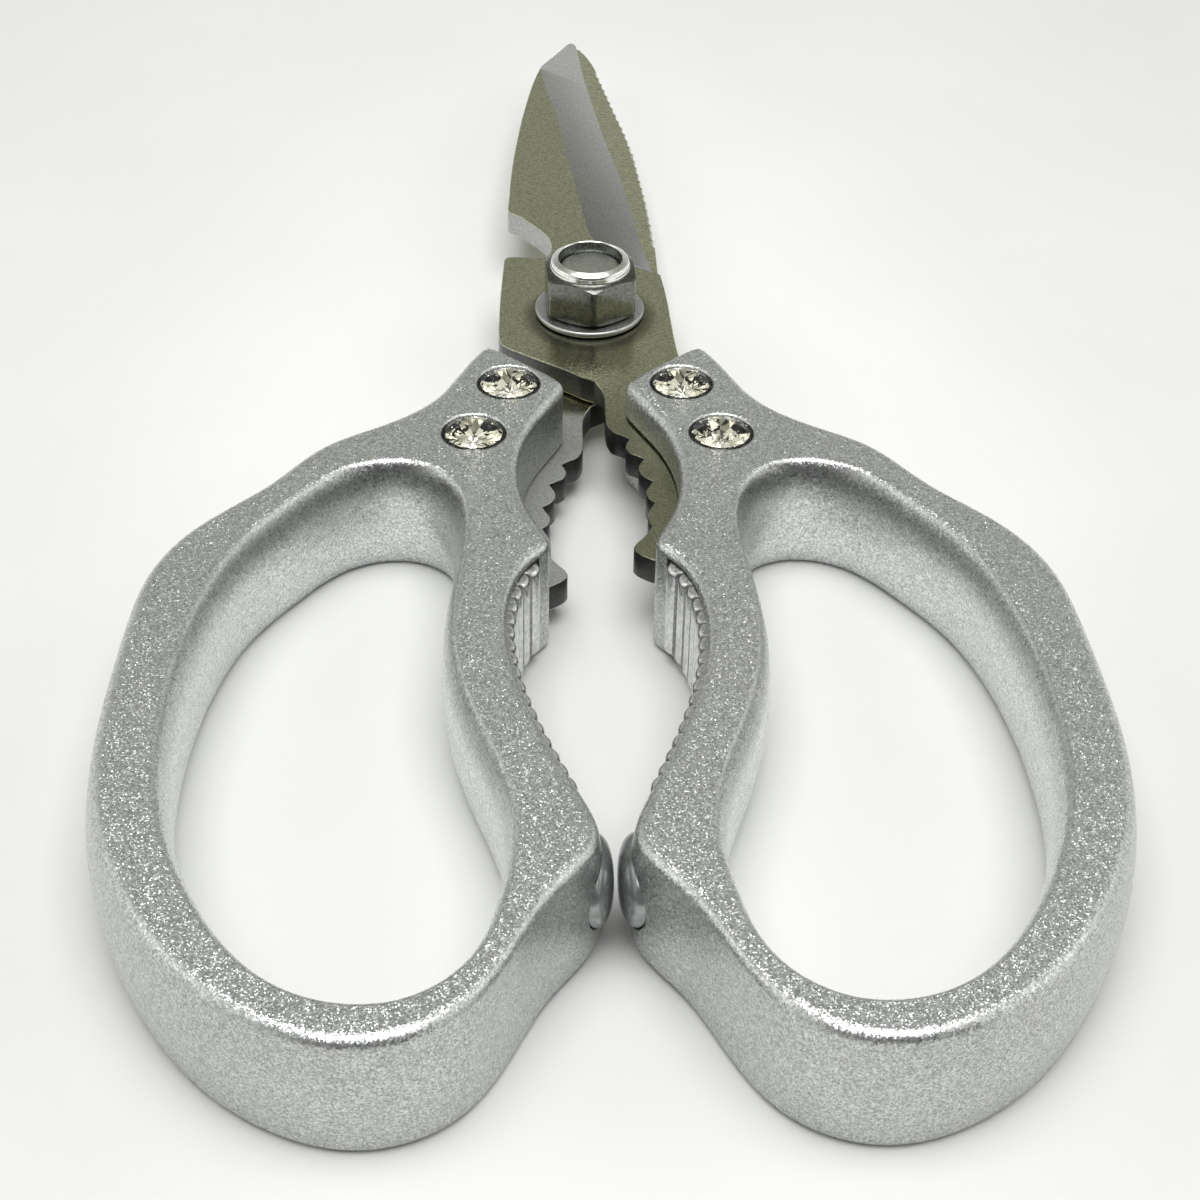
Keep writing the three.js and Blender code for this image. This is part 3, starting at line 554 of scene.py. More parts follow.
def flake_paint():
    """Silver paint with coarse metal flakes: each small cell is tilted its own way and has its own brightness."""
    m, nt, b = mat("silver_flake_paint")
    L = nt.links
    v = coords(nt)
    cell = node(nt, "ShaderNodeTexVoronoi", feature="F1")
    cell.inputs["Scale"].default_value = 7800.0
    L.new(v, cell.inputs["Vector"])
    cell2 = node(nt, "ShaderNodeTexVoronoi", feature="F1")
    cell2.inputs["Scale"].default_value = 4600.0
    L.new(v, cell2.inputs["Vector"])
    # tilt
    t1 = vmath(nt, "SUBTRACT", cell.outputs["Color"], (0.5, 0.5, 0.5))
    t2 = vmath(nt, "SUBTRACT", cell2.outputs["Color"], (0.5, 0.5, 0.5))
    t = vmath(nt, "ADD", vmath(nt, "SCALE", t1, scale=0.56), vmath(nt, "SCALE", t2, scale=0.20))
    calm = node(nt, "ShaderNodeAttribute", attribute_name="grain")    # flakes lie flatter where the paint ran thin
    t = vmath(nt, "SCALE", t, scale=calm.outputs["Fac"])
    geo = node(nt, "ShaderNodeNewGeometry")
    nrm = vmath(nt, "NORMALIZE", vmath(nt, "ADD", geo.outputs["Normal"], t))
    # faint orange peel under the flakes
    noise = node(nt, "ShaderNodeTexNoise")
    noise.inputs["Scale"].default_value = 900.0
    noise.inputs["Detail"].default_value = 3.0
    L.new(v, noise.inputs["Vector"])
    bump = node(nt, "ShaderNodeBump")
    bump.inputs["Strength"].default_value = 0.12
    bump.inputs["Distance"].default_value = 0.00006
    L.new(noise.outputs["Fac"], bump.inputs["Height"])
    L.new(nrm, bump.inputs["Normal"])
    L.new(bump.outputs["Normal"], b.inputs["Normal"])
    # brightness of each flake
    sep = node(nt, "ShaderNodeSeparateColor")
    L.new(cell.outputs["Color"], sep.inputs[0])
    sep2 = node(nt, "ShaderNodeSeparateColor")
    L.new(cell2.outputs["Color"], sep2.inputs[0])
    f = math_node(nt, "ADD", math_node(nt, "MULTIPLY", sep.outputs[0], 0.65), math_node(nt, "MULTIPLY", sep2.outputs[1], 0.35))
    col = ramp(nt, f, [(0.12, (0.385, 0.391, 0.386)), (0.42, (0.545, 0.554, 0.546)), (0.62, (0.665, 0.676, 0.666)), (0.88, (0.86, 0.874, 0.862))])
    wide = node(nt, "ShaderNodeTexNoise")
    wide.inputs["Scale"].default_value = 55.0
    wide.inputs["Detail"].default_value = 2.0
    L.new(v, wide.inputs["Vector"])
    tint = ramp(nt, wide.outputs["Fac"], [(0.3, (0.96, 0.985, 0.97)), (0.7, (1.0, 1.0, 1.0))])
    mix = node(nt, "ShaderNodeMix", data_type="RGBA", blend_type="MULTIPLY")
    mix.inputs[0].default_value = 1.0
    L.new(col, mix.inputs[6])
    L.new(tint, mix.inputs[7])
    # painted light and shade from a mesh attribute multiply the paint colour
    painted_light_shade = node(nt, "ShaderNodeAttribute", attribute_name="painted_light_shade")
    lift = node(nt, "ShaderNodeMix", data_type="RGBA", blend_type="MULTIPLY")
    lift.inputs[0].default_value = 1.0
    L.new(mix.outputs[2], lift.inputs[6])
    L.new(painted_light_shade.outputs["Fac"], lift.inputs[7])
    L.new(lift.outputs[2], b.inputs["Base Color"])
    b.inputs["Metallic"].default_value = 0.92
    rr = math_node(nt, "ADD", math_node(nt, "MULTIPLY", sep2.outputs[0], 0.12), 0.26)
    L.new(rr, b.inputs["Roughness"])
    b.inputs["Coat Weight"].default_value = 0.18
    b.inputs["Coat Roughness"].default_value = 0.18
    return m


def steel(name, low, high, blast=None, along=None, lines=(1400, 9000, 1400), painted_shade=False):
    """Satin blade steel: fine grinding lines across the blade. blast: height of y below which it is shot-blasted.
    along: two colours blended from the pivot to the tip."""
    m, nt, b = mat(name)
    L = nt.links
    v = coords(nt, lines, (0, 0, 0.12))
    n1 = node(nt, "ShaderNodeTexNoise")
    n1.inputs["Scale"].default_value = 1.0
    n1.inputs["Detail"].default_value = 4.0
    L.new(v, n1.inputs["Vector"])
    v2 = coords(nt, (5200, 5200, 5200))
    n2 = node(nt, "ShaderNodeTexNoise")
    n2.inputs["Scale"].default_value = 1.0
    n2.inputs["Detail"].default_value = 2.0
    L.new(v2, n2.inputs["Vector"])
    f = math_node(nt, "ADD", math_node(nt, "MULTIPLY", n1.outputs["Fac"], 0.5), math_node(nt, "MULTIPLY", n2.outputs["Fac"], 0.5))
    col = ramp(nt, f, [(0.40, low), (0.60, high)])
    rough = math_node(nt, "ADD", math_node(nt, "MULTIPLY", f, 0.16), 0.16)
    if blast is not None or along is not None or painted_shade:
        tc = node(nt, "ShaderNodeTexCoord")
        sp = node(nt, "ShaderNodeSeparateXYZ")
        L.new(tc.outputs["Object"], sp.inputs[0])
    if along is not None:
        r = node(nt, "ShaderNodeMapRange")
        r.inputs["From Min"].default_value = 0.026
        r.inputs["From Max"].default_value = 0.095
        L.new(sp.outputs["Y"], r.inputs["Value"])
        g = ramp(nt, r.outputs[0], [(0.0, along[0]), (1.0, along[1])])
        mx = node(nt, "ShaderNodeMix", data_type="RGBA", blend_type="MULTIPLY")
        mx.inputs[0].default_value = 1.0
        L.new(col, mx.inputs[6])
        L.new(g, mx.inputs[7])
        col = mx.outputs[2]
    if blast is not None:
        r = node(nt, "ShaderNodeMapRange")
        r.inputs["From Min"].default_value = blast + 0.0008
        r.inputs["From Max"].default_value = blast - 0.0008
        L.new(sp.outputs["Y"], r.inputs["Value"])
        grit = ramp(nt, n2.outputs["Fac"], [(0.3, (0.36, 0.365, 0.36)), (0.7, (0.54, 0.545, 0.54))])
        mx = node(nt, "ShaderNodeMix", data_type="RGBA")
        L.new(r.outputs[0], mx.inputs[0])
        L.new(col, mx.inputs[6])
        L.new(grit, mx.inputs[7])
        col = mx.outputs[2]
        mr = node(nt, "ShaderNodeMix", data_type="FLOAT")
        L.new(r.outputs[0], mr.inputs[0])
        L.new(rough, mr.inputs[2])
        mr.inputs[3].default_value = 0.58
        rough = mr.outputs[0]
    if painted_shade:
        # painted shade: a dark crescent that hugs the front of the washer, standing in for the nut's shadow and dark
        # reflection, and the tangs painted darker than the plate as shade where they run into the handles
        d = vmath(nt, "DIVIDE", vmath(nt, "SUBTRACT", tc.outputs["Object"], (0.0, 0.0186, 0.0086)), (0.0080, 0.0080, 1.0))
        ln = node(nt, "ShaderNodeVectorMath", operation="LENGTH")
        L.new(d, ln.inputs[0])
        nut_shadow_spot = ramp(nt, ln.outputs["Value"], [(0.76, 0.28), (0.88, 0.55), (1.0, 1.0)])
        r = node(nt, "ShaderNodeMapRange")
        r.inputs["From Min"].default_value = -0.004
        r.inputs["From Max"].default_value = 0.006
        L.new(sp.outputs["Y"], r.inputs["Value"])
        g = ramp(nt, r.outputs[0], [(0.0, 0.70), (1.0, 1.0)])
        for fac in (nut_shadow_spot, g):
            mx = node(nt, "ShaderNodeMix", data_type="RGBA", blend_type="MULTIPLY")
            mx.inputs[0].default_value = 1.0
            L.new(col, mx.inputs[6])
            L.new(fac, mx.inputs[7])
            col = mx.outputs[2]
    L.new(col, b.inputs["Base Color"])
    b.inputs["Metallic"].default_value = 1.0
    L.new(rough, b.inputs["Roughness"])
    bump = node(nt, "ShaderNodeBump")
    bump.inputs["Strength"].default_value = 0.10
    bump.inputs["Distance"].default_value = 0.00004
    L.new(f, bump.inputs["Height"])
    L.new(bump.outputs["Normal"], b.inputs["Normal"])
    return m


def chrome():
    m, nt, b = mat("polished_plate")
    L = nt.links
    v = coords(nt, (900, 900, 2600))
    n1 = node(nt, "ShaderNodeTexNoise")
    n1.inputs["Scale"].default_value = 1.0
    n1.inputs["Detail"].default_value = 5.0
    L.new(v, n1.inputs["Vector"])
    col = ramp(nt, n1.outputs["Fac"], [(0.3, (0.70, 0.70, 0.675)), (0.7, (0.84, 0.84, 0.815))])
    L.new(col, b.inputs["Base Color"])
    b.inputs["Metallic"].default_value = 1.0
    L.new(math_node(nt, "ADD", math_node(nt, "MULTIPLY", n1.outputs["Fac"], 0.10), 0.06), b.inputs["Roughness"])
    bump = node(nt, "ShaderNodeBump")
    bump.inputs["Strength"].default_value = 0.08
    bump.inputs["Distance"].default_value = 0.00005
    L.new(n1.outputs["Fac"], bump.inputs["Height"])
    L.new(bump.outputs["Normal"], b.inputs["Normal"])
    return m


def jaw():
    m, nt, b = mat("cast_bright_metal")
    L = nt.links
    v = coords(nt, (2600, 2600, 1700))
    n1 = node(nt, "ShaderNodeTexNoise")
    n1.inputs["Scale"].default_value = 1.0
    n1.inputs["Detail"].default_value = 4.0
    L.new(v, n1.inputs["Vector"])
    cell = node(nt, "ShaderNodeTexVoronoi", feature="F1")
    cell.inputs["Scale"].default_value = 1.3
    L.new(v, cell.inputs["Vector"])
    sep = node(nt, "ShaderNodeSeparateColor")
    L.new(cell.outputs["Color"], sep.inputs[0])
    f = math_node(nt, "ADD", math_node(nt, "MULTIPLY", n1.outputs["Fac"], 0.6), math_node(nt, "MULTIPLY", sep.outputs[0], 0.4))
    col = ramp(nt, f, [(0.25, (0.50, 0.508, 0.50)), (0.75, (0.80, 0.81, 0.80))])
    L.new(col, b.inputs["Base Color"])
    b.inputs["Metallic"].default_value = 0.95
    L.new(math_node(nt, "ADD", math_node(nt, "MULTIPLY", n1.outputs["Fac"], 0.2), 0.10), b.inputs["Roughness"])
    bump = node(nt, "ShaderNodeBump")
    bump.inputs["Strength"].default_value = 0.35
    bump.inputs["Distance"].default_value = 0.00012
    L.new(f, bump.inputs["Height"])
    L.new(bump.outputs["Normal"], b.inputs["Normal"])
    return m


def pad_plastic():
    m, nt, b = mat("smooth_grey_stop")
    L = nt.links
    v = coords(nt, (1500, 1500, 1500))
    n1 = node(nt, "ShaderNodeTexNoise")
    n1.inputs["Scale"].default_value = 1.0
    n1.inputs["Detail"].default_value = 4.0
    L.new(v, n1.inputs["Vector"])
    col = ramp(nt, n1.outputs["Fac"], [(0.3, (0.25, 0.263, 0.257)), (0.7, (0.42, 0.438, 0.43))])
    L.new(col, b.inputs["Base Color"])
    b.inputs["Metallic"].default_value = 0.75
    L.new(math_node(nt, "ADD", math_node(nt, "MULTIPLY", n1.outputs["Fac"], 0.14), 0.18), b.inputs["Roughness"])
    bump = node(nt, "ShaderNodeBump")
    bump.inputs["Strength"].default_value = 0.08
    bump.inputs["Distance"].default_value = 0.00005
    L.new(n1.outputs["Fac"], bump.inputs["Height"])
    L.new(bump.outputs["Normal"], b.inputs["Normal"])
    return m


def nylon():
    m, nt, b = mat("natural_nylon")
    L = nt.links
    v = coords(nt, (1800, 1800, 1800))
    n1 = node(nt, "ShaderNodeTexNoise")
    n1.inputs["Scale"].default_value = 1.0
    n1.inputs["Detail"].default_value = 3.0
    L.new(v, n1.inputs["Vector"])
    col = ramp(nt, n1.outputs["Fac"], [(0.3, (0.42, 0.43, 0.40)), (0.7, (0.55, 0.56, 0.52))])
    L.new(col, b.inputs["Base Color"])
    L.new(math_node(nt, "ADD", math_node(nt, "MULTIPLY", n1.outputs["Fac"], 0.2), 0.4), b.inputs["Roughness"])
    return m


def gem_glass():
    m, nt, b = mat("cut_glass")
    L = nt.links
    v = coords(nt, (700, 700, 700))
    n1 = node(nt, "ShaderNodeTexNoise")
    n1.inputs["Scale"].default_value = 1.0
    n1.inputs["Detail"].default_value = 2.0
    L.new(v, n1.inputs["Vector"])
    col = ramp(nt, n1.outputs["Fac"], [(0.3, (0.99, 0.985, 0.88)), (0.7, (1.0, 1.0, 0.93))])
    L.new(col, b.inputs["Base Color"])
    b.inputs["Transmission Weight"].default_value = 1.0
    b.inputs["IOR"].default_value = 1.62
    L.new(math_node(nt, "MULTIPLY", n1.outputs["Fac"], 0.03), b.inputs["Roughness"])
    return m


def foil():
    m, nt, b = mat("foil_back")
    L = nt.links
    v = coords(nt, (1200, 1200, 1200))
    n1 = node(nt, "ShaderNodeTexNoise")
    n1.inputs["Scale"].default_value = 1.0
    n1.inputs["Detail"].default_value = 3.0
    L.new(v, n1.inputs["Vector"])
    col = ramp(nt, n1.outputs["Fac"], [(0.3, (0.95, 0.94, 0.86)), (0.7, (1.0, 0.99, 0.93))])
    L.new(col, b.inputs["Base Color"])
    b.inputs["Metallic"].default_value = 1.0
    L.new(math_node(nt, "ADD", math_node(nt, "MULTIPLY", n1.outputs["Fac"], 0.06), 0.02), b.inputs["Roughness"])
    return m


def plate(name, low, high, rough_low, rough_high, scale=(2600, 2600, 2600), bump_by=0.08, fade=None):
    """Plain metal finish with a fine grain; fade: (y0, y1, share at y0) darkens the metal towards y0, metres."""
    m, nt, b = mat(name)
    L = nt.links
    n1 = node(nt, "ShaderNodeTexNoise")
    n1.inputs["Scale"].default_value = 1.0
    n1.inputs["Detail"].default_value = 4.0
    L.new(coords(nt, scale), n1.inputs["Vector"])
    col = ramp(nt, n1.outputs["Fac"], [(0.35, low), (0.65, high)])
    if fade is not None:
        tc = node(nt, "ShaderNodeTexCoord")
        sp = node(nt, "ShaderNodeSeparateXYZ")
        L.new(tc.outputs["Object"], sp.inputs[0])
        r = node(nt, "ShaderNodeMapRange")
        r.inputs["From Min"].default_value = fade[0]
        r.inputs["From Max"].default_value = fade[1]
        L.new(sp.outputs["Y"], r.inputs["Value"])
        g = ramp(nt, r.outputs[0], [(0.0, fade[2]), (1.0, 1.0)])
        mx = node(nt, "ShaderNodeMix", data_type="RGBA", blend_type="MULTIPLY")
        mx.inputs[0].default_value = 1.0
        L.new(col, mx.inputs[6])
        L.new(g, mx.inputs[7])
        col = mx.outputs[2]
    L.new(col, b.inputs["Base Color"])
    b.inputs["Metallic"].default_value = 1.0
    L.new(math_node(nt, "ADD", math_node(nt, "MULTIPLY", n1.outputs["Fac"], rough_high - rough_low), rough_low), b.inputs["Roughness"])
    bump = node(nt, "ShaderNodeBump")
    bump.inputs["Strength"].default_value = bump_by
    bump.inputs["Distance"].default_value = 0.00005
    L.new(n1.outputs["Fac"], bump.inputs["Height"])
    L.new(bump.outputs["Normal"], b.inputs["Normal"])
    return m


PAINT = flake_paint()
# the upper blade's steel carries painted shade: a dark crescent in front of the washer and darker tangs
STEEL = steel("satin_blade_steel", (0.39, 0.395, 0.27), (0.73, 0.735, 0.515), painted_shade=True)
STEEL_LOW = steel("satin_blade_steel_low", (0.50, 0.505, 0.35), (0.86, 0.865, 0.61), blast=0.0030)
BEVEL = steel("ground_bevel", (0.60, 0.60, 0.585), (0.82, 0.82, 0.80), along=((0.42, 0.42, 0.42), (1.1, 1.1, 1.1)), lines=(9000, 1600, 1400))
# the sheared edges fade darker towards the tangs: painted shade where they run in beside the handles
EDGE = plate("sheared_edge", (0.36, 0.365, 0.355), (0.50, 0.505, 0.49), 0.34, 0.48, fade=(0.008, 0.027, 0.16))
CHROME = chrome()
RIVET = CHROME
# the nut's flats are painted very dark as painted dark reflection, its collar painted bright as painted highlight, and
# its bore painted dark as painted shade
NUT_BODY = plate("nut_flats", (0.13, 0.134, 0.118), (0.22, 0.225, 0.20), 0.12, 0.22)
NUT_LIP = plate("nut_collar", (0.88, 0.88, 0.83), (0.98, 0.98, 0.93), 0.12, 0.20)
NUT_BORE = plate("nut_bore", (0.13, 0.145, 0.13), (0.22, 0.235, 0.215), 0.22, 0.34)
BOLT_END = plate("bolt_end", (0.46, 0.465, 0.42), (0.62, 0.625, 0.565), 0.30, 0.42)
WASHER = plate("satin_washer", (0.50, 0.505, 0.49), (0.62, 0.625, 0.61), 0.32, 0.46)
JAW = jaw()
# darker groove material: painted shade in the rib grooves
PAINTED_GROOVE_SHADE = plate("rib_groove_painted_shade", (0.26, 0.265, 0.26), (0.40, 0.405, 0.40), 0.34, 0.50)
PADM = pad_plastic()
NYLON = nylon()
GEM = gem_glass()
FOIL = foil()



# ---- handles -----------------------------------------------------------------
outer = ccw(resample(crom(HANDLE, True), 900, True))
hole = ccw(resample(crom(HOLE, True), 380, True))
half = T / 2


def roundness(loop):
    """Edge radius at each point: wider along the neck of the mouth side, less where the outline turns tightly."""
    n = len(loop)
    t = np.roll(loop, -1, 0) - np.roll(loop, 1, 0)
    a = np.unwrap(np.arctan2(t[:, 1], t[:, 0]))
    ds = np.hypot(*t.T)
    turn = np.roll(a, -1) - np.roll(a, 1)
    turn = (turn + math.pi) % (2 * math.pi) - math.pi
    k = turn / ds                                       # positive where the outline is convex
    w = np.exp(-0.5 * (np.arange(-6, 7) / 1.2) ** 2)
    w /= w.sum()
    k = sum(w[j + 6] * np.roll(k, j) for j in range(-6, 7))
    lim = 0.70 / np.maximum(k, 1e-3)
    x, y = loop[:, 0], loop[:, 1]
    neck = np.clip((9.4 - x) / 1.5, 0, 1) * np.clip((-15.5 - y) / 2.5, 0, 1) * np.clip((y + 50.5) / 4.0, 0, 1)
    r = FIL + (NECK_FIL - FIL) * neck
    r = np.minimum(r, lim)
    for _ in range(3):
        low = np.minimum(np.minimum(np.roll(r, 1), np.roll(r, -1)) + 0.12, r)
        r = np.minimum(r, low)
    w = np.exp(-0.5 * (np.arange(-12, 13) / 5.0) ** 2)
    w /= w.sum()
    for _ in range(4):
        r = np.minimum(sum(w[j + 12] * np.roll(r, j) for j in range(-12, 13)), lim)
    return r


def swell(loop):
    """Share of the outer wall's swell at each point: none on the mouth side, full on the flanks, less at the near end."""
    t = np.roll(loop, -4, 0) - np.roll(loop, 4, 0)
    t /= np.hypot(*t.T)[:, None]
    side = 0.45 + 0.55 * np.abs(t[:, 1])
    k = np.clip((loop[:, 0] - 9.5) / 6.5, 0, 1)
    return side * k * k * (3 - 2 * k)


def edge_levels(loop, steps=8):
    """Quarter-round edges top and bottom, with a narrow support ring beside each, and a wall that swells at half height."""
    r = roundness(loop)
    w = swell(loop)
    near = np.clip((9.0 - loop[:, 0]) / 5.0, 0, 1) * np.clip((-82.0 - loop[:, 1]) / 5.0, 0, 1)
    near = near * near * (3 - 2 * near)
    one = np.ones(len(loop))
    curve = []
    for k in range(steps + 1):
        a = math.pi / 2 * k / steps
        curve.append((1 - math.sin(a), 1 - math.cos(a)))
    ring = [(r * d, r * z) for d, z in curve]
    ring.append((0 * one, r + 0.3))
    for q in (2.4, 3.4, 4.6, 5.6, 6.3, half, 6.7, 7.4, 8.4, 9.6, 10.6):
        ring.append((0 * one, q * one))
    ring.append((0 * one, T - r - 0.3))
    ring += [(r * d, T - r * z) for d, z in reversed(curve)]
    out = []
    for d, z in ring:
        t = np.abs(z - half) / half
        out.append((inset(loop, d - (w * OUT_BULGE + near * PAD_BULGE) * (1 - t ** 2)), z))
    return out


def hole_levels(loop, fil, steps=6):
    out = []
    zs = [0.0]
    for k in range(1, steps + 1):
        zs.append(fil * (1 - math.cos(math.pi / 2 * k / steps)))
    zs += [1.6, 2.4, 3.4, 4.6, 5.9, half - 0.22, half - 0.12, half]
    for z in zs + [T - z for z in reversed(zs[:-1])]:
        t = abs(z - half) / half
        bulge = BULGE * math.sqrt(max(0.0, 1 - t ** 2.4))
        if abs(z - half) < 0.05:
            bulge += 0.03      # parting line of the casting
        out.append((inset(loop, bulge), z))
    return out


def arc_between(loop, y_top, y_bottom):
    keep = [p for p in loop if p[0] < 9.6 and y_bottom < p[1] < y_top]
    return np.array(keep)


wall = arc_between(outer, -52.3, -86.6)
if wall[0][1] < wall[-1][1]:
    wall = wall[::-1]
wall = resample(wall, 1201, False)
wt = np.gradient(wall, axis=0)
wt /= np.hypot(*wt.T)[:, None]
wn = np.stack([wt[:, 1], -wt[:, 0]], 1)
if wn[600][0] > 0:
    wn = -wn               # towards the mouth


def along(u, d):
    i = np.clip(np.asarray(u) * 1200, 0, 1200)
    k = np.arange(1201)
    p = np.stack([np.interp(i, k, wall[:, 0]), np.interp(i, k, wall[:, 1])], -1)
    n = np.stack([np.interp(i, k, wn[:, 0]), np.interp(i, k, wn[:, 1])], -1)
    return p + n * np.asarray(d)[..., None]


def oval_lathe(profile, n, a, b, y, z):
    """profile of (fraction, x): an oval puck with its axis along x, semi-axes a along y and b along z."""
    V, F = lathe(profile, n)
    out = [(h, y + v * a, z + u * b) for u, v, h in V]
    return fix_out(out, F)


PAD = dict(y=-92.0, z=6.5, a=4.6, b=3.7)


def flare(r, z_in, z_face, rad, out, n, cx, cy, steps=5):
    """Tool for a round recess with a rounded rim: from z_in up (or down) through the face at z_face."""
    s = 1 if z_face > z_in else -1
    prof = [(0, z_in), (r, z_in)]
    for k in range(steps + 1):
        a = math.pi / 2 * k / steps
        prof.append((r + rad * (1 - math.cos(a)), z_face - s * rad * (1 - math.sin(a))))
    prof.append((r + rad, z_face + s * out))
    prof.append((0, z_face + s * out))
    return lathe(prof, n, cx, cy)


def painted_light_shade(ob, sx):
    """Painted light and shade in the paint colour: outer walls painted a little darker, walls inside the loop painted
    brighter.
    """
    me = ob.data
    n = len(me.vertices)
    co = np.empty(n * 3, np.float32)
    me.vertices.foreach_get("co", co)
    co = co.reshape(-1, 3)
    no = np.empty(n * 3, np.float32)
    me.vertices.foreach_get("normal", no)
    no = no.reshape(-1, 3)
    c = hole.mean(0)
    to = np.stack([sx * c[0] - co[:, 0], c[1] - co[:, 1]], 1)
    inside = (to * no[:, :2]).sum(1) > 0
    dist = np.sqrt(((co[:, None, :2] * [sx, 1] - hole[None, ::4]) ** 2).sum(2)).min(1)
    w = np.clip((0.85 - np.abs(no[:, 2])) / 0.6, 0, 1)
    face = np.clip(0.45 - 0.75 * no[:, 1], 0, 1)        # walls that face the near side get painted shade just below the rim
    u = np.clip((co[:, 2] - 8.3) / 3.0, 0, 1)
    u = u * u * (3 - 2 * u)
    t = np.where(inside & (dist < 3.5), 1 + (0.11 - 0.68 * u * face) * w, 1 - 0.15 * w)
    a = me.attributes.new("painted_light_shade", "FLOAT", "POINT")
    a.data.foreach_set("value", t.astype(np.float32))
    a = me.attributes.new("grain", "FLOAT", "POINT")
    g = 0.42 + 0.58 * np.clip((np.abs(no[:, 2]) - 0.86) / 0.12, 0, 1)
    a.data.foreach_set("value", g.astype(np.float32))


def handle_mesh(name, slot_z0, slot_z1, left):
    V, F = stack(edge_levels(outer), hole_levels(hole, FIL))
    ob = weld(obj_from(name, (V, F)))
    tools = [prism(SLOT, slot_z0, slot_z1)]
    # pocket of the gripping insert
    us = np.linspace(0, 1, 60)
    back = along(us, np.full(60, -2.0))
    front = along(us, np.full(60, 3.0))
    tools.append(prism(np.vstack([front, back[::-1]]), 0.9, 12.1))
    tools.append(oval_lathe([(0, -4), (1.04, -4), (1.04, 3.3), (0, 3.3)], 64, PAD["a"], PAD["b"], PAD["y"], PAD["z"]))
    for x, y in RIVETS:
        tools.append(flare(3.35, T - 3.3, T, 0.36, 1, 96, x, y, 6))
        tools.append(flare(3.4, 1.3, 0.0, 0.28, 1, 72, x, y))
        tools.append(lathe([(0, 1.0), (1.9, 1.0), (1.9, T - 3.0), (0, T - 3.0)], 36, x, y))
    boolean(ob, tools)
    if left:
        ob.data.transform(Matrix.Scale(-1, 4, (1, 0, 0)))
        ob.data.flip_normals()
    weld(ob)
    shade(ob)
    painted_light_shade(ob, -1 if left else 1)
    return ob


place(handle_mesh("cast_handle_right", UP_Z - GAP, UP_Z + BT + GAP, False), "right_half", PAINT, ["right_handle"])
place(handle_mesh("cast_handle_left", LOW_Z - GAP, LOW_Z + BT + GAP, True), "left_half", PAINT, ["left_handle"])


# ---- gripping inserts --------------------------------------------------------
def insert_mesh(name, left):
    ribs, per = 17, 14
    nu = ribs * per
    z0, z1, r = 1.2, 11.8, 0.75
    zs = []
    for k in range(7):
        zs.append(z0 + r * (1 - math.cos(math.pi / 2 * k / 6)))
    zs += list(np.linspace(z0 + r, z1 - r, 8)[1:-1])
    for k in range(7):
        zs.append(z1 - r + r * math.sin(math.pi / 2 * k / 6))
    V, F = [], []
    nz = len(zs)
    u = 0.012 + 0.976 * np.arange(nu + 1) / nu
    ph = (np.arange(nu + 1) % per) / per
    prof = np.sqrt(np.maximum(0, 1 - (2 * ph - 1) ** 2)) ** 0.9
    for z in zs:
        e = min(1.0, (z - z0) / r, (z1 - z) / r)
        e = max(0.0, e)
        dome = math.sqrt(max(0.0, 1 - (1 - e) ** 2))
        d = 0.15 * dome + (0.85 - 0.15) * prof * dome - 0.25 * (1 - dome)
        P = along(u, d)
        V.extend((float(a), float(b), float(z)) for a, b in P)
    nrow = nu + 1
    for k in range(nz - 1):
        for i in range(nu):
            F.append((k * nrow + i, k * nrow + i + 1, (k + 1) * nrow + i + 1, (k + 1) * nrow + i))
    # back and ends, same count of stations
    b0 = len(V)
    B = along(u, np.full(nu + 1, -1.7))
    for z in (zs[0], zs[-1]):
        V.extend((float(a), float(b), float(z)) for a, b in B)
    for i in range(nu):
        F.append((b0 + i, b0 + nrow + i, b0 + nrow + i + 1, b0 + i + 1))
        F.append((i + 1, i, b0 + i, b0 + i + 1))
        t = (nz - 1) * nrow
        F.append((t + i, t + i + 1, b0 + nrow + i + 1, b0 + nrow + i))
    for end, flip in ((0, False), (nu, True)):
        col = [k * nrow + end for k in range(nz)] + [b0 + nrow + end, b0 + end]
        F.append(tuple(col[::-1]) if flip else tuple(col))
    vf = fix_out(V, F)
    # faces deep in the rib grooves get the darker painted shade material
    deep = [k < (nz - 1) * nu and not 0.13 < ((k % nu) % per + 0.5) / per < 0.87 for k in range(len(F))]
    if left:
        vf = mirror(vf)
    return shade(obj_from(name, vf), 50), deep


for side, flip in (("right", False), ("left", True)):
    ob, deep = insert_mesh("ribbed_insert_" + side, flip)
    place(ob, side + "_half", [JAW, PAINTED_GROOVE_SHADE], [side + "_jaw_insert"])
    for p, d in zip(ob.data.polygons, deep):
        p.material_index = 1 if d else 0


# ---- stop pads ---------------------------------------------------------------
def pad_mesh(name, left):
    prof = [(0.0, 0.15)]
    for k in range(1, 15):
        a = math.pi / 2 * k / 14
        prof.append((math.sin(a) ** 0.92, 0.15 + 1.75 * (1 - math.cos(a)) ** 1.15))
    prof += [(1.0, 2.1), (1.0, 3.0), (0.0, 3.0)]
    vf = oval_lathe(prof, 72, PAD["a"], PAD["b"], PAD["y"], PAD["z"])
    if left:
        vf = mirror(vf)
    return shade(obj_from(name, vf), 50, flat_normals=())


place(pad_mesh("domed_stop_right", False), "right_half", PADM, ["right_stop_pad"])
place(pad_mesh("domed_stop_left", True), "left_half", PADM, ["left_stop_pad"])


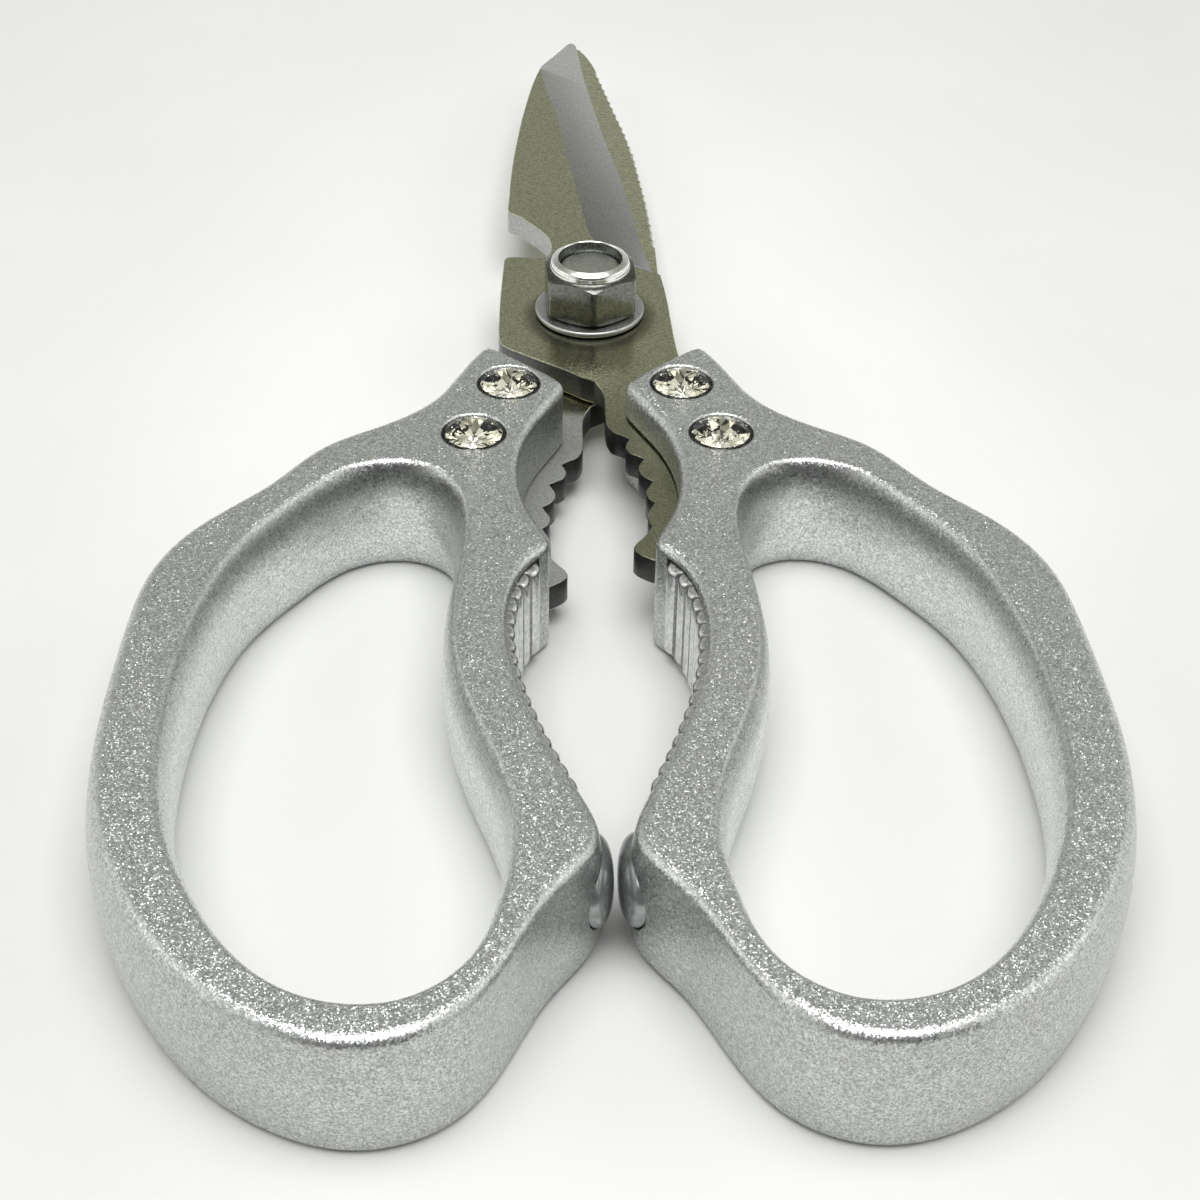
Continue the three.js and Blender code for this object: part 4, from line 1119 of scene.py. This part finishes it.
# ---- blades ------------------------------------------------------------------
def scaler(path, y0, y1, pitch, depth):
    """Shallow pointed scallops cut into an edge between two heights."""
    P = resample(path, max(3, int(length(path) / 0.16)), False)
    t = np.gradient(P, axis=0)
    t /= np.hypot(*t.T)[:, None]
    n = np.stack([-t[:, 1], t[:, 0]], 1)
    d = np.r_[0, np.cumsum(np.hypot(*(P[1:] - P[:-1]).T))]
    inside = (P[:, 1] > y0) & (P[:, 1] < y1)
    base = d[inside][0]
    count = max(1, round((d[inside][-1] - base) / pitch))
    step = (d[inside][-1] - base) / count
    ph = ((d - base) / step) % 1.0
    cut = np.where(inside, depth * np.sqrt(np.maximum(0, 1 - (2 * ph - 1) ** 2)), 0.0)
    return P, n, cut


def blade_levels(loop, z0, z1, c=0.13):
    return [(inset(loop, c), z0), (inset(loop, c * 0.35), z0 + c * 0.35), (loop, z0 + c), (loop, z1 - c),
            (inset(loop, c * 0.35), z1 - c * 0.35), (inset(loop, c), z1)]


def ruled(inner, z_in, outer_, z_out, z_far, reach, n=90):
    """Closed band between two matching polylines, carried on to z_far, as a cutting tool."""
    A = resample(crom(inner, False), n, False)
    B = resample(crom(outer_, False), n, False)
    V, F = [], []
    for (ax, ay), (bx, by) in zip(A, B):
        ex, ey = bx + (bx - ax) * reach, by + (by - ay) * reach
        ez = z_out + (z_out - z_in) * reach
        V += [(ax, ay, z_in), (ex, ey, ez), (ex, ey, z_far), (ax, ay, z_far)]
    for i in range(n - 1):
        for k in range(4):
            l = (k + 1) % 4
            F.append((i * 4 + k, (i + 1) * 4 + k, (i + 1) * 4 + l, i * 4 + l))
    F.append((0, 1, 2, 3))
    e = (n - 1) * 4
    F.append((e, e + 3, e + 2, e + 1))
    return fix_out(V, F)


def bore(z0, z1):
    return lathe([(0, z0), (3.05, z0), (3.05, z1), (0, z1)], 72, 0, AXIS_Y)


def upper_blade():
    path = [cornered(UPPER_EDGE, 0.8), cornered([tuple(p) for p in TANG_OUT[::-1]], 0.8), cornered(TANG_IN[::-1], 0.22), cornered(UPPER_SPINE, 0.35)]
    loop = ccw(dedupe(np.vstack(path)))
    ob = obj_from("upper", stack(blade_levels(loop, UP_Z, UP_Z + BT)))
    tools = [ruled(BEVEL_TOP, UP_Z + BT, BEVEL_EDGE, UP_Z + 0.35, UP_Z + BT + 3, 0.5), bore(0, 20)]
    tools += [lathe([(0, 0), (1.9, 0), (1.9, T), (0, T)], 36, x, y) for x, y in RIVETS]
    boolean(ob, tools)
    weld(ob)
    return shade(ob, 30)


def lower_blade():
    spine = cornered(LOWER_SPINE, 0.5)
    P, n, cut = scaler(spine, 22.0, 72.0, 1.95, 0.34)
    inward = np.where((n[:, :1] * 1.0) < 0, 1.0, -1.0) * n     # the blade lies to the left of its back
    spine = P + inward * cut[:, None]
    path = [spine, cornered([(-p[0], p[1]) + tuple(p[2:]) for p in TANG_IN], 0.22), cornered([(-p[0], p[1]) for p in TANG_OUT], 0.8), cornered(LOWER_EDGE, 0.8)]
    loop = ccw(dedupe(np.vstack(path)))
    ob = obj_from("lower", stack(blade_levels(loop, LOW_Z, LOW_Z + BT, 0.1)))
    tools = [ruled(LOWER_GRIND, LOW_Z, LOWER_GRIND_EDGE, LOW_Z + BT - 0.35, LOW_Z - 3, 0.5), bore(0, 20)]
    tools += [lathe([(0, 0), (1.9, 0), (1.9, T), (0, T)], 36, -x, y) for x, y in RIVETS]
    boolean(ob, tools)
    weld(ob)
    return shade(ob, 30)


ob = upper_blade()
ob.name = "notched_blade"
nz = [p.normal.z for p in ob.data.polygons]
place(ob, "right_half", [STEEL, BEVEL, EDGE], ["upper_blade"])
for p, h in zip(ob.data.polygons, nz):
    p.material_index = 2 if abs(h) < 0.3 else 1 if 0.5 < h < 0.985 and p.center.y > 0.024 and p.area > 4e-8 else 0
ob = lower_blade()
ob.name = "scaler_blade"
nz = [p.normal.z for p in ob.data.polygons]
place(ob, "left_half", [STEEL_LOW, EDGE], ["lower_blade"])
for p, h in zip(ob.data.polygons, nz):
    p.material_index = 1 if abs(h) < 0.3 else 0


# ---- pivot -------------------------------------------------------------------
def rounded(profile, rad, steps=4):
    """Rounds the corners of a closed (r, z) profile that are off the axis."""
    P = [np.array(p, float) for p in profile]
    out = []
    n = len(P)
    for i in range(n):
        a, b, c = P[i - 1], P[i], P[(i + 1) % n]
        ra = rad[i] if isinstance(rad, (list, tuple)) else rad
        if b[0] < 1e-6 or ra <= 0:
            out.append(tuple(b))
            continue
        u, w = a - b, c - b
        lu, lw = np.linalg.norm(u), np.linalg.norm(w)
        k = min(ra, lu * 0.48, lw * 0.48)
        p, q = b + u / lu * k, b + w / lw * k
        for s in range(steps + 1):
            t = s / steps
            out.append(tuple((1 - t) ** 2 * p + 2 * t * (1 - t) * b + t * t * q))
    return out


WASH_Z = UP_Z + BT + 0.15
NUT_Z = WASH_Z + 0.6 + 0.2
washer = obj_from("flat_washer", lathe(rounded([(3.25, WASH_Z), (6.25, WASH_Z), (6.25, WASH_Z + 0.6), (3.25, WASH_Z + 0.6)], [0.1, 0.14, 0.26, 0.1]), 144, 0, AXIS_Y))
shade(washer, 50)
place(washer, "left_half", WASHER, ["pivot_washer"])

body = lathe(rounded([
    (3.2, 0), (4.9, 0), (6.1, 0.6), (6.1, 3.75), (5.85, 4.3), (5.5, 4.66), (5.08, 4.86), (4.60, 5.0), (4.46, 5.2), (4.48, 5.55), (4.36, 5.86),
    (3.74, 6.2), (3.64, 6.1), (3.5, 4.8), (3.95, 4.6), (3.95, 3.7), (3.2, 3.7)],
    [0.1, 0.1, 0, 0.2, 0.2, 0.2, 0.2, 0.1, 0.1, 0.15, 0.12, 0.04, 0.03, 0.05, 0, 0, 0.05], 5), 160, 0, AXIS_Y)
R = 10.0 / math.sqrt(3)
hexa = []
for i in range(6):
    a = math.radians(-90 + 3.5 + 60 * i)
    c = np.array([R * math.cos(a), R * math.sin(a)])
    for k in range(-4, 5):
        # short arc in place of each upright corner
        rr = 0.75
        inner = c * (1 - rr / math.cos(math.radians(30)) / R)
        b = a + math.radians(30) * k / 4
        hexa.append(inner + rr * np.array([math.cos(b), math.sin(b)]))
nut = obj_from("collared_nut", body, (0, 0, NUT_Z))
hv = prism(np.array(hexa) + np.array([0, AXIS_Y]), NUT_Z - 1, NUT_Z + 7)
boolean(nut, [hv], "INTERSECT")
weld(nut)
shade(nut, 32, flat_normals=[(0, 0, -1)] + [(math.cos(math.radians(-60 + 3.5 + 60 * i)), math.sin(math.radians(-60 + 3.5 + 60 * i)), 0) for i in range(6)])
# faces inside the collar take the painted shade, the collar the painted highlight, the flats the painted dark
# reflection
nut_faces = []
for p in nut.data.polygons:
    c, n = p.center, p.normal
    h, rad = c.z - NUT_Z, math.hypot(c.x, c.y - AXIS_Y)
    inward = n.x * c.x + n.y * (c.y - AXIS_Y) < -0.3 * rad
    nut_faces.append(2 if inward and rad < 4.0 and h < 5.95 else 1 if h > 5.12 else 0)
place(nut, "left_half", [NUT_BODY, NUT_LIP, NUT_BORE], ["lock_nut"])
for p, i in zip(nut.data.polygons, nut_faces):
    p.material_index = i

ring = obj_from("nylon_ring", lathe(rounded([(3.2, NUT_Z + 3.9), (3.7, NUT_Z + 3.9), (3.7, NUT_Z + 4.5), (3.2, NUT_Z + 4.5)], 0.12), 96, 0, AXIS_Y))
shade(ring, 50)
place(ring, "left_half", NYLON, ["lock_nut_insert"])

BTOP = 14.6
z1 = LOW_Z - 0.2
z0 = z1 - 1.7
prof = [(0, z0), (5.3, z0), (5.8, z0 + 0.5), (5.8, z1), (2.95, z1)]
prof += [(2.95, z1 + 0.2), (2.95, 9.4)]
z = 9.4
while z < BTOP - 1.3:          # thread inside the nut and just out of it
    prof += [(2.95, z + 0.1), (2.62, z + 0.5), (2.95, z + 0.9)]
    z += 1.0
prof += [(2.95, BTOP - 0.48), (3.3, BTOP - 0.46), (3.4, BTOP - 0.36), (3.4, BTOP - 0.16), (3.28, BTOP - 0.06), (3.0, BTOP - 0.01), (1.1, BTOP), (0, BTOP)]
bolt = obj_from("pivot_screw", lathe(prof, 96, 0, AXIS_Y))
slot_v = [(x, y + AXIS_Y, z0 + h) for h in (-0.7, 0.7) for x, y in ((-7, -0.65), (7, -0.65), (7, 0.65), (-7, 0.65))]
slot_f = [(0, 3, 2, 1), (4, 5, 6, 7), (0, 1, 5, 4), (1, 2, 6, 5), (2, 3, 7, 6), (3, 0, 4, 7)]
boolean(bolt, [(slot_v, slot_f)])
shade(bolt, 40)
tips = [p.center.z > BTOP - 0.5 for p in bolt.data.polygons]
place(bolt, "left_half", [CHROME, BOLT_END], ["pivot_bolt"])
for p, tip in zip(bolt.data.polygons, tips):
    p.material_index = 1 if tip else 0


# ---- rivets and faceted caps -------------------------------------------------
def rivet(x, y):
    top = T - 3.3 + 0.2
    p = rounded([(0, 0.15), (3.05, 0.15), (3.05, 1.1), (1.6, 1.1), (1.6, top), (2.55, top), (2.55, top + 0.25), (1.7, top + 0.42), (0, top + 0.45)],
                [0, 0.35, 0.08, 0.05, 0.05, 0.1, 0.2, 0.2, 0])
    return lathe(p, 64, x, y)


def gem(x, y, turn):
    """Round cut cap: table, stars, kites, upper girdle facets, a narrow girdle and a foiled back of 8 mains with 16 halves."""
    z = T - 3.3 + 0.95
    V, F, M = [], [], []

    def ring(n, r, h, off):
        s = len(V)
        for i in range(n):
            a = 2 * math.pi * (i + off) / n + turn
            V.append((x + r * math.cos(a), y + r * math.sin(a), z + h))
        return s

    G = 3.05
    t = ring(8, 1.62, 2.9, 0)         # table corners
    k = ring(8, 2.34, 2.70, 0.5)      # kite tips between stars
    g = ring(16, G, 2.27, 0)          # upper girdle, even ones under the table corners
    h = ring(16, G, 2.1, 0)
    b = ring(8, 1.35, 0.858, 0.5)     # tips of the lower halves
    c = len(V)
    V.append((x, y, z + 0.0))
    F.append(tuple(t + i for i in range(8)))
    M.append(0)
    for i in range(8):
        j = (i + 1) % 8
        F.append((t + i, k + i, t + j))                                  # star
        F.append((t + j, k + i, g + (2 * j) % 16, k + j))                # kite
        F.append((k + i, g + 2 * i, g + 2 * i + 1))                      # upper girdle
        F.append((k + i, g + 2 * i + 1, g + (2 * i + 2) % 16))
        M += [0, 0, 0, 0]
    for i in range(16):
        j = (i + 1) % 16
        F.append((g + i, h + i, h + j, g + j))
        M.append(1)
    for i in range(8):
        F.append((h + 2 * i, b + i, h + 2 * i + 1))
        F.append((h + 2 * i + 1, b + i, h + (2 * i + 2) % 16))
        F.append((h + (2 * i + 2) % 16, b + i, c, b + (i + 1) % 8))
        M += [1, 1, 1]
    return V, F, M


def gem_obj(name, x, y, turn):
    V, F, M = gem(x, y, turn)
    ob = obj_from(name, (V, F))
    import bmesh

    bm = bmesh.new()
    bm.from_mesh(ob.data)
    bm.faces.ensure_lookup_table()
    for f, m in zip(bm.faces, M):
        f.material_index = m
        f.smooth = False
    bmesh.ops.recalc_face_normals(bm, faces=bm.faces)
    bm.to_mesh(ob.data)
    bm.free()
    return ob


for side, sx, body_name in (("right", 1, "right_half"), ("left", -1, "left_half")):
    for (x, y), which, turn in zip(RIVETS, ("front", "rear"), (0.1, 0.42)):
        r = obj_from(side + "_" + which + "_pin", rivet(sx * x, y))
        shade(r, 45)
        place(r, body_name, RIVET, [side + "_" + which + "_rivet"])
        g = gem_obj(side + "_" + which + "_gem", sx * x, y, turn * (1 if sx > 0 else 1.7))
        mats = [GEM, FOIL]
        idx = [p.material_index for p in g.data.polygons]
        place(g, body_name, mats, [side + "_" + which + "_crystal"])
        for p, i in zip(g.data.polygons, idx):
            p.material_index = i


CAM_F = 2508.23
CAM_C = (-8.241, -250.307, 155.015)
CAM_R = (0.999472, -0.027860, 0.016748)
CAM_U = (0.003281, 0.599054, 0.800702)
CAM_FW = (0.032341, 0.800223, -0.598829)

# ---- floor, light, camera ----------------------------------------------------
def floor():
    s = 4.0
    me = bpy.data.meshes.new("floor")
    me.from_pydata([(-s, -s, 0), (s, -s, 0), (s, s, 0), (-s, s, 0)], [], [(0, 1, 2, 3)])
    ob = bpy.data.objects.new("floor", me)
    bpy.context.scene.collection.objects.link(ob)
    m, nt, b = mat("pale_table")
    L = nt.links
    v = coords(nt, (30, 30, 30))
    n1 = node(nt, "ShaderNodeTexNoise")
    n1.inputs["Scale"].default_value = 1.0
    n1.inputs["Detail"].default_value = 3.0
    L.new(v, n1.inputs["Vector"])
    col = ramp(nt, n1.outputs["Fac"], [(0.3, (0.79, 0.794, 0.785)), (0.7, (0.812, 0.816, 0.807))])
    # the table colour is painted lighter around the shears and darker further out: a painted pool of light
    t = node(nt, "ShaderNodeTexCoord")
    ln = node(nt, "ShaderNodeVectorMath", operation="LENGTH")
    L.new(vmath(nt, "DIVIDE", vmath(nt, "ADD", t.outputs["Object"], (0.0, 0.01, 0.0)), (0.055, 0.12, 1.0)), ln.inputs[0])
    r = node(nt, "ShaderNodeMapRange")
    r.inputs["From Min"].default_value = 0.5
    r.inputs["From Max"].default_value = 2.0
    L.new(ln.outputs["Value"], r.inputs["Value"])
    g = ramp(nt, r.outputs[0], [(0.08, (1.0, 1.0, 1.0)), (0.18, (0.975, 0.975, 0.975)), (0.38, (0.91, 0.91, 0.91)), (0.97, (0.865, 0.865, 0.865))])
    mx = node(nt, "ShaderNodeMix", data_type="RGBA", blend_type="MULTIPLY")
    mx.inputs[0].default_value = 1.0
    L.new(col, mx.inputs[6])
    L.new(g, mx.inputs[7])
    L.new(mx.outputs[2], b.inputs["Base Color"])
    b.inputs["Roughness"].default_value = 0.55
    b.inputs["Specular IOR Level"].default_value = 0.12
    me.materials.append(m)


floor()


def area_light(name, loc, aim, size, power, color=(1, 1, 1), size_y=None):
    d = bpy.data.lights.new(name, "AREA")
    d.shape = "RECTANGLE"
    d.size = size
    d.size_y = size_y or size
    d.energy = power
    d.color = color
    o = bpy.data.objects.new(name, d)
    o.location = loc
    o.rotation_mode = "QUATERNION"
    o.rotation_quaternion = (Vector(aim) - Vector(loc)).to_track_quat("-Z", "Y")
    bpy.context.scene.collection.objects.link(o)
    return o


area_light("overhead", (0.0, -0.24, 1.0), (0, -0.05, 0), 0.92, 10.4, (1.0, 1.0, 1.0))
area_light("side_left", (-1.5, 0.05, 0.95), (0, 0, 0), 0.85, 1.7, (1, 1, 1))
area_light("side_right", (1.5, 0.05, 0.95), (0, 0, 0), 0.85, 1.7, (1, 1, 1))

world = bpy.data.worlds.new("studio")
bpy.context.scene.world = world
world.use_nodes = True
nt = world.node_tree
nt.nodes.clear()
L = nt.links
tc = node(nt, "ShaderNodeTexCoord")
sep = node(nt, "ShaderNodeSeparateXYZ")
L.new(tc.outputs["Generated"], sep.inputs[0])
# height of the direction above the horizon, and how far it points to the back wall
base = ramp(nt, sep.outputs["Z"], [(0.0, (0.60, 0.60, 0.60)), (0.24, (0.47, 0.475, 0.47)), (0.34, (0.44, 0.445, 0.43)), (0.46, (0.29, 0.295, 0.262)), (0.72, (0.28, 0.285, 0.258)), (0.9, (0.5, 0.5, 0.48))])
front = ramp(nt, sep.outputs["Z"], [(0.0, (0.16, 0.16, 0.16)), (0.25, (0.10, 0.10, 0.10)), (0.78, (0.12, 0.12, 0.12)), (0.92, (0.45, 0.45, 0.45))])
back = ramp(nt, math_node(nt, "ADD", math_node(nt, "MULTIPLY", sep.outputs["Y"], 0.5), 0.5), [(0.28, 0.0), (0.50, 1.0)])
mx = node(nt, "ShaderNodeMix", data_type="RGBA")
L.new(back, mx.inputs[0])
L.new(front, mx.inputs[6])
L.new(base, mx.inputs[7])
# pale walls to the left and right
side = ramp(nt, math_node(nt, "ABSOLUTE", sep.outputs["X"]), [(0.56, 0.0), (0.78, 1.0)])
mw = node(nt, "ShaderNodeMix", data_type="RGBA")
L.new(side, mw.inputs[0])
L.new(mx.outputs[2], mw.inputs[6])
mw.inputs[7].default_value = (0.80, 0.80, 0.77, 1)
bg = node(nt, "ShaderNodeBackground")
L.new(mw.outputs[2], bg.inputs["Color"])
bg.inputs["Strength"].default_value = 1.0
out = node(nt, "ShaderNodeOutputWorld")
L.new(bg.outputs[0], out.inputs[0])

sc = bpy.context.scene
sc.view_settings.view_transform = "Standard"
sc.view_settings.look = "None"

cam_d = bpy.data.cameras.new("camera")
cam = bpy.data.objects.new("camera", cam_d)
sc.collection.objects.link(cam)
cam_d.sensor_width = 36.0
cam_d.lens = CAM_F / 1200.0 * 36.0
cam_d.clip_start, cam_d.clip_end = 0.01, 20.0
cam_d.dof.use_dof = False
Rx, Uy, Fw = Vector(CAM_R), Vector(CAM_U), Vector(CAM_FW)
m = Matrix((Rx, Uy, -Fw)).transposed().to_4x4()
m.translation = Vector((CAM_C[0], CAM_C[1] + PY, CAM_C[2])) * 0.001
cam.matrix_world = m
sc.camera = cam
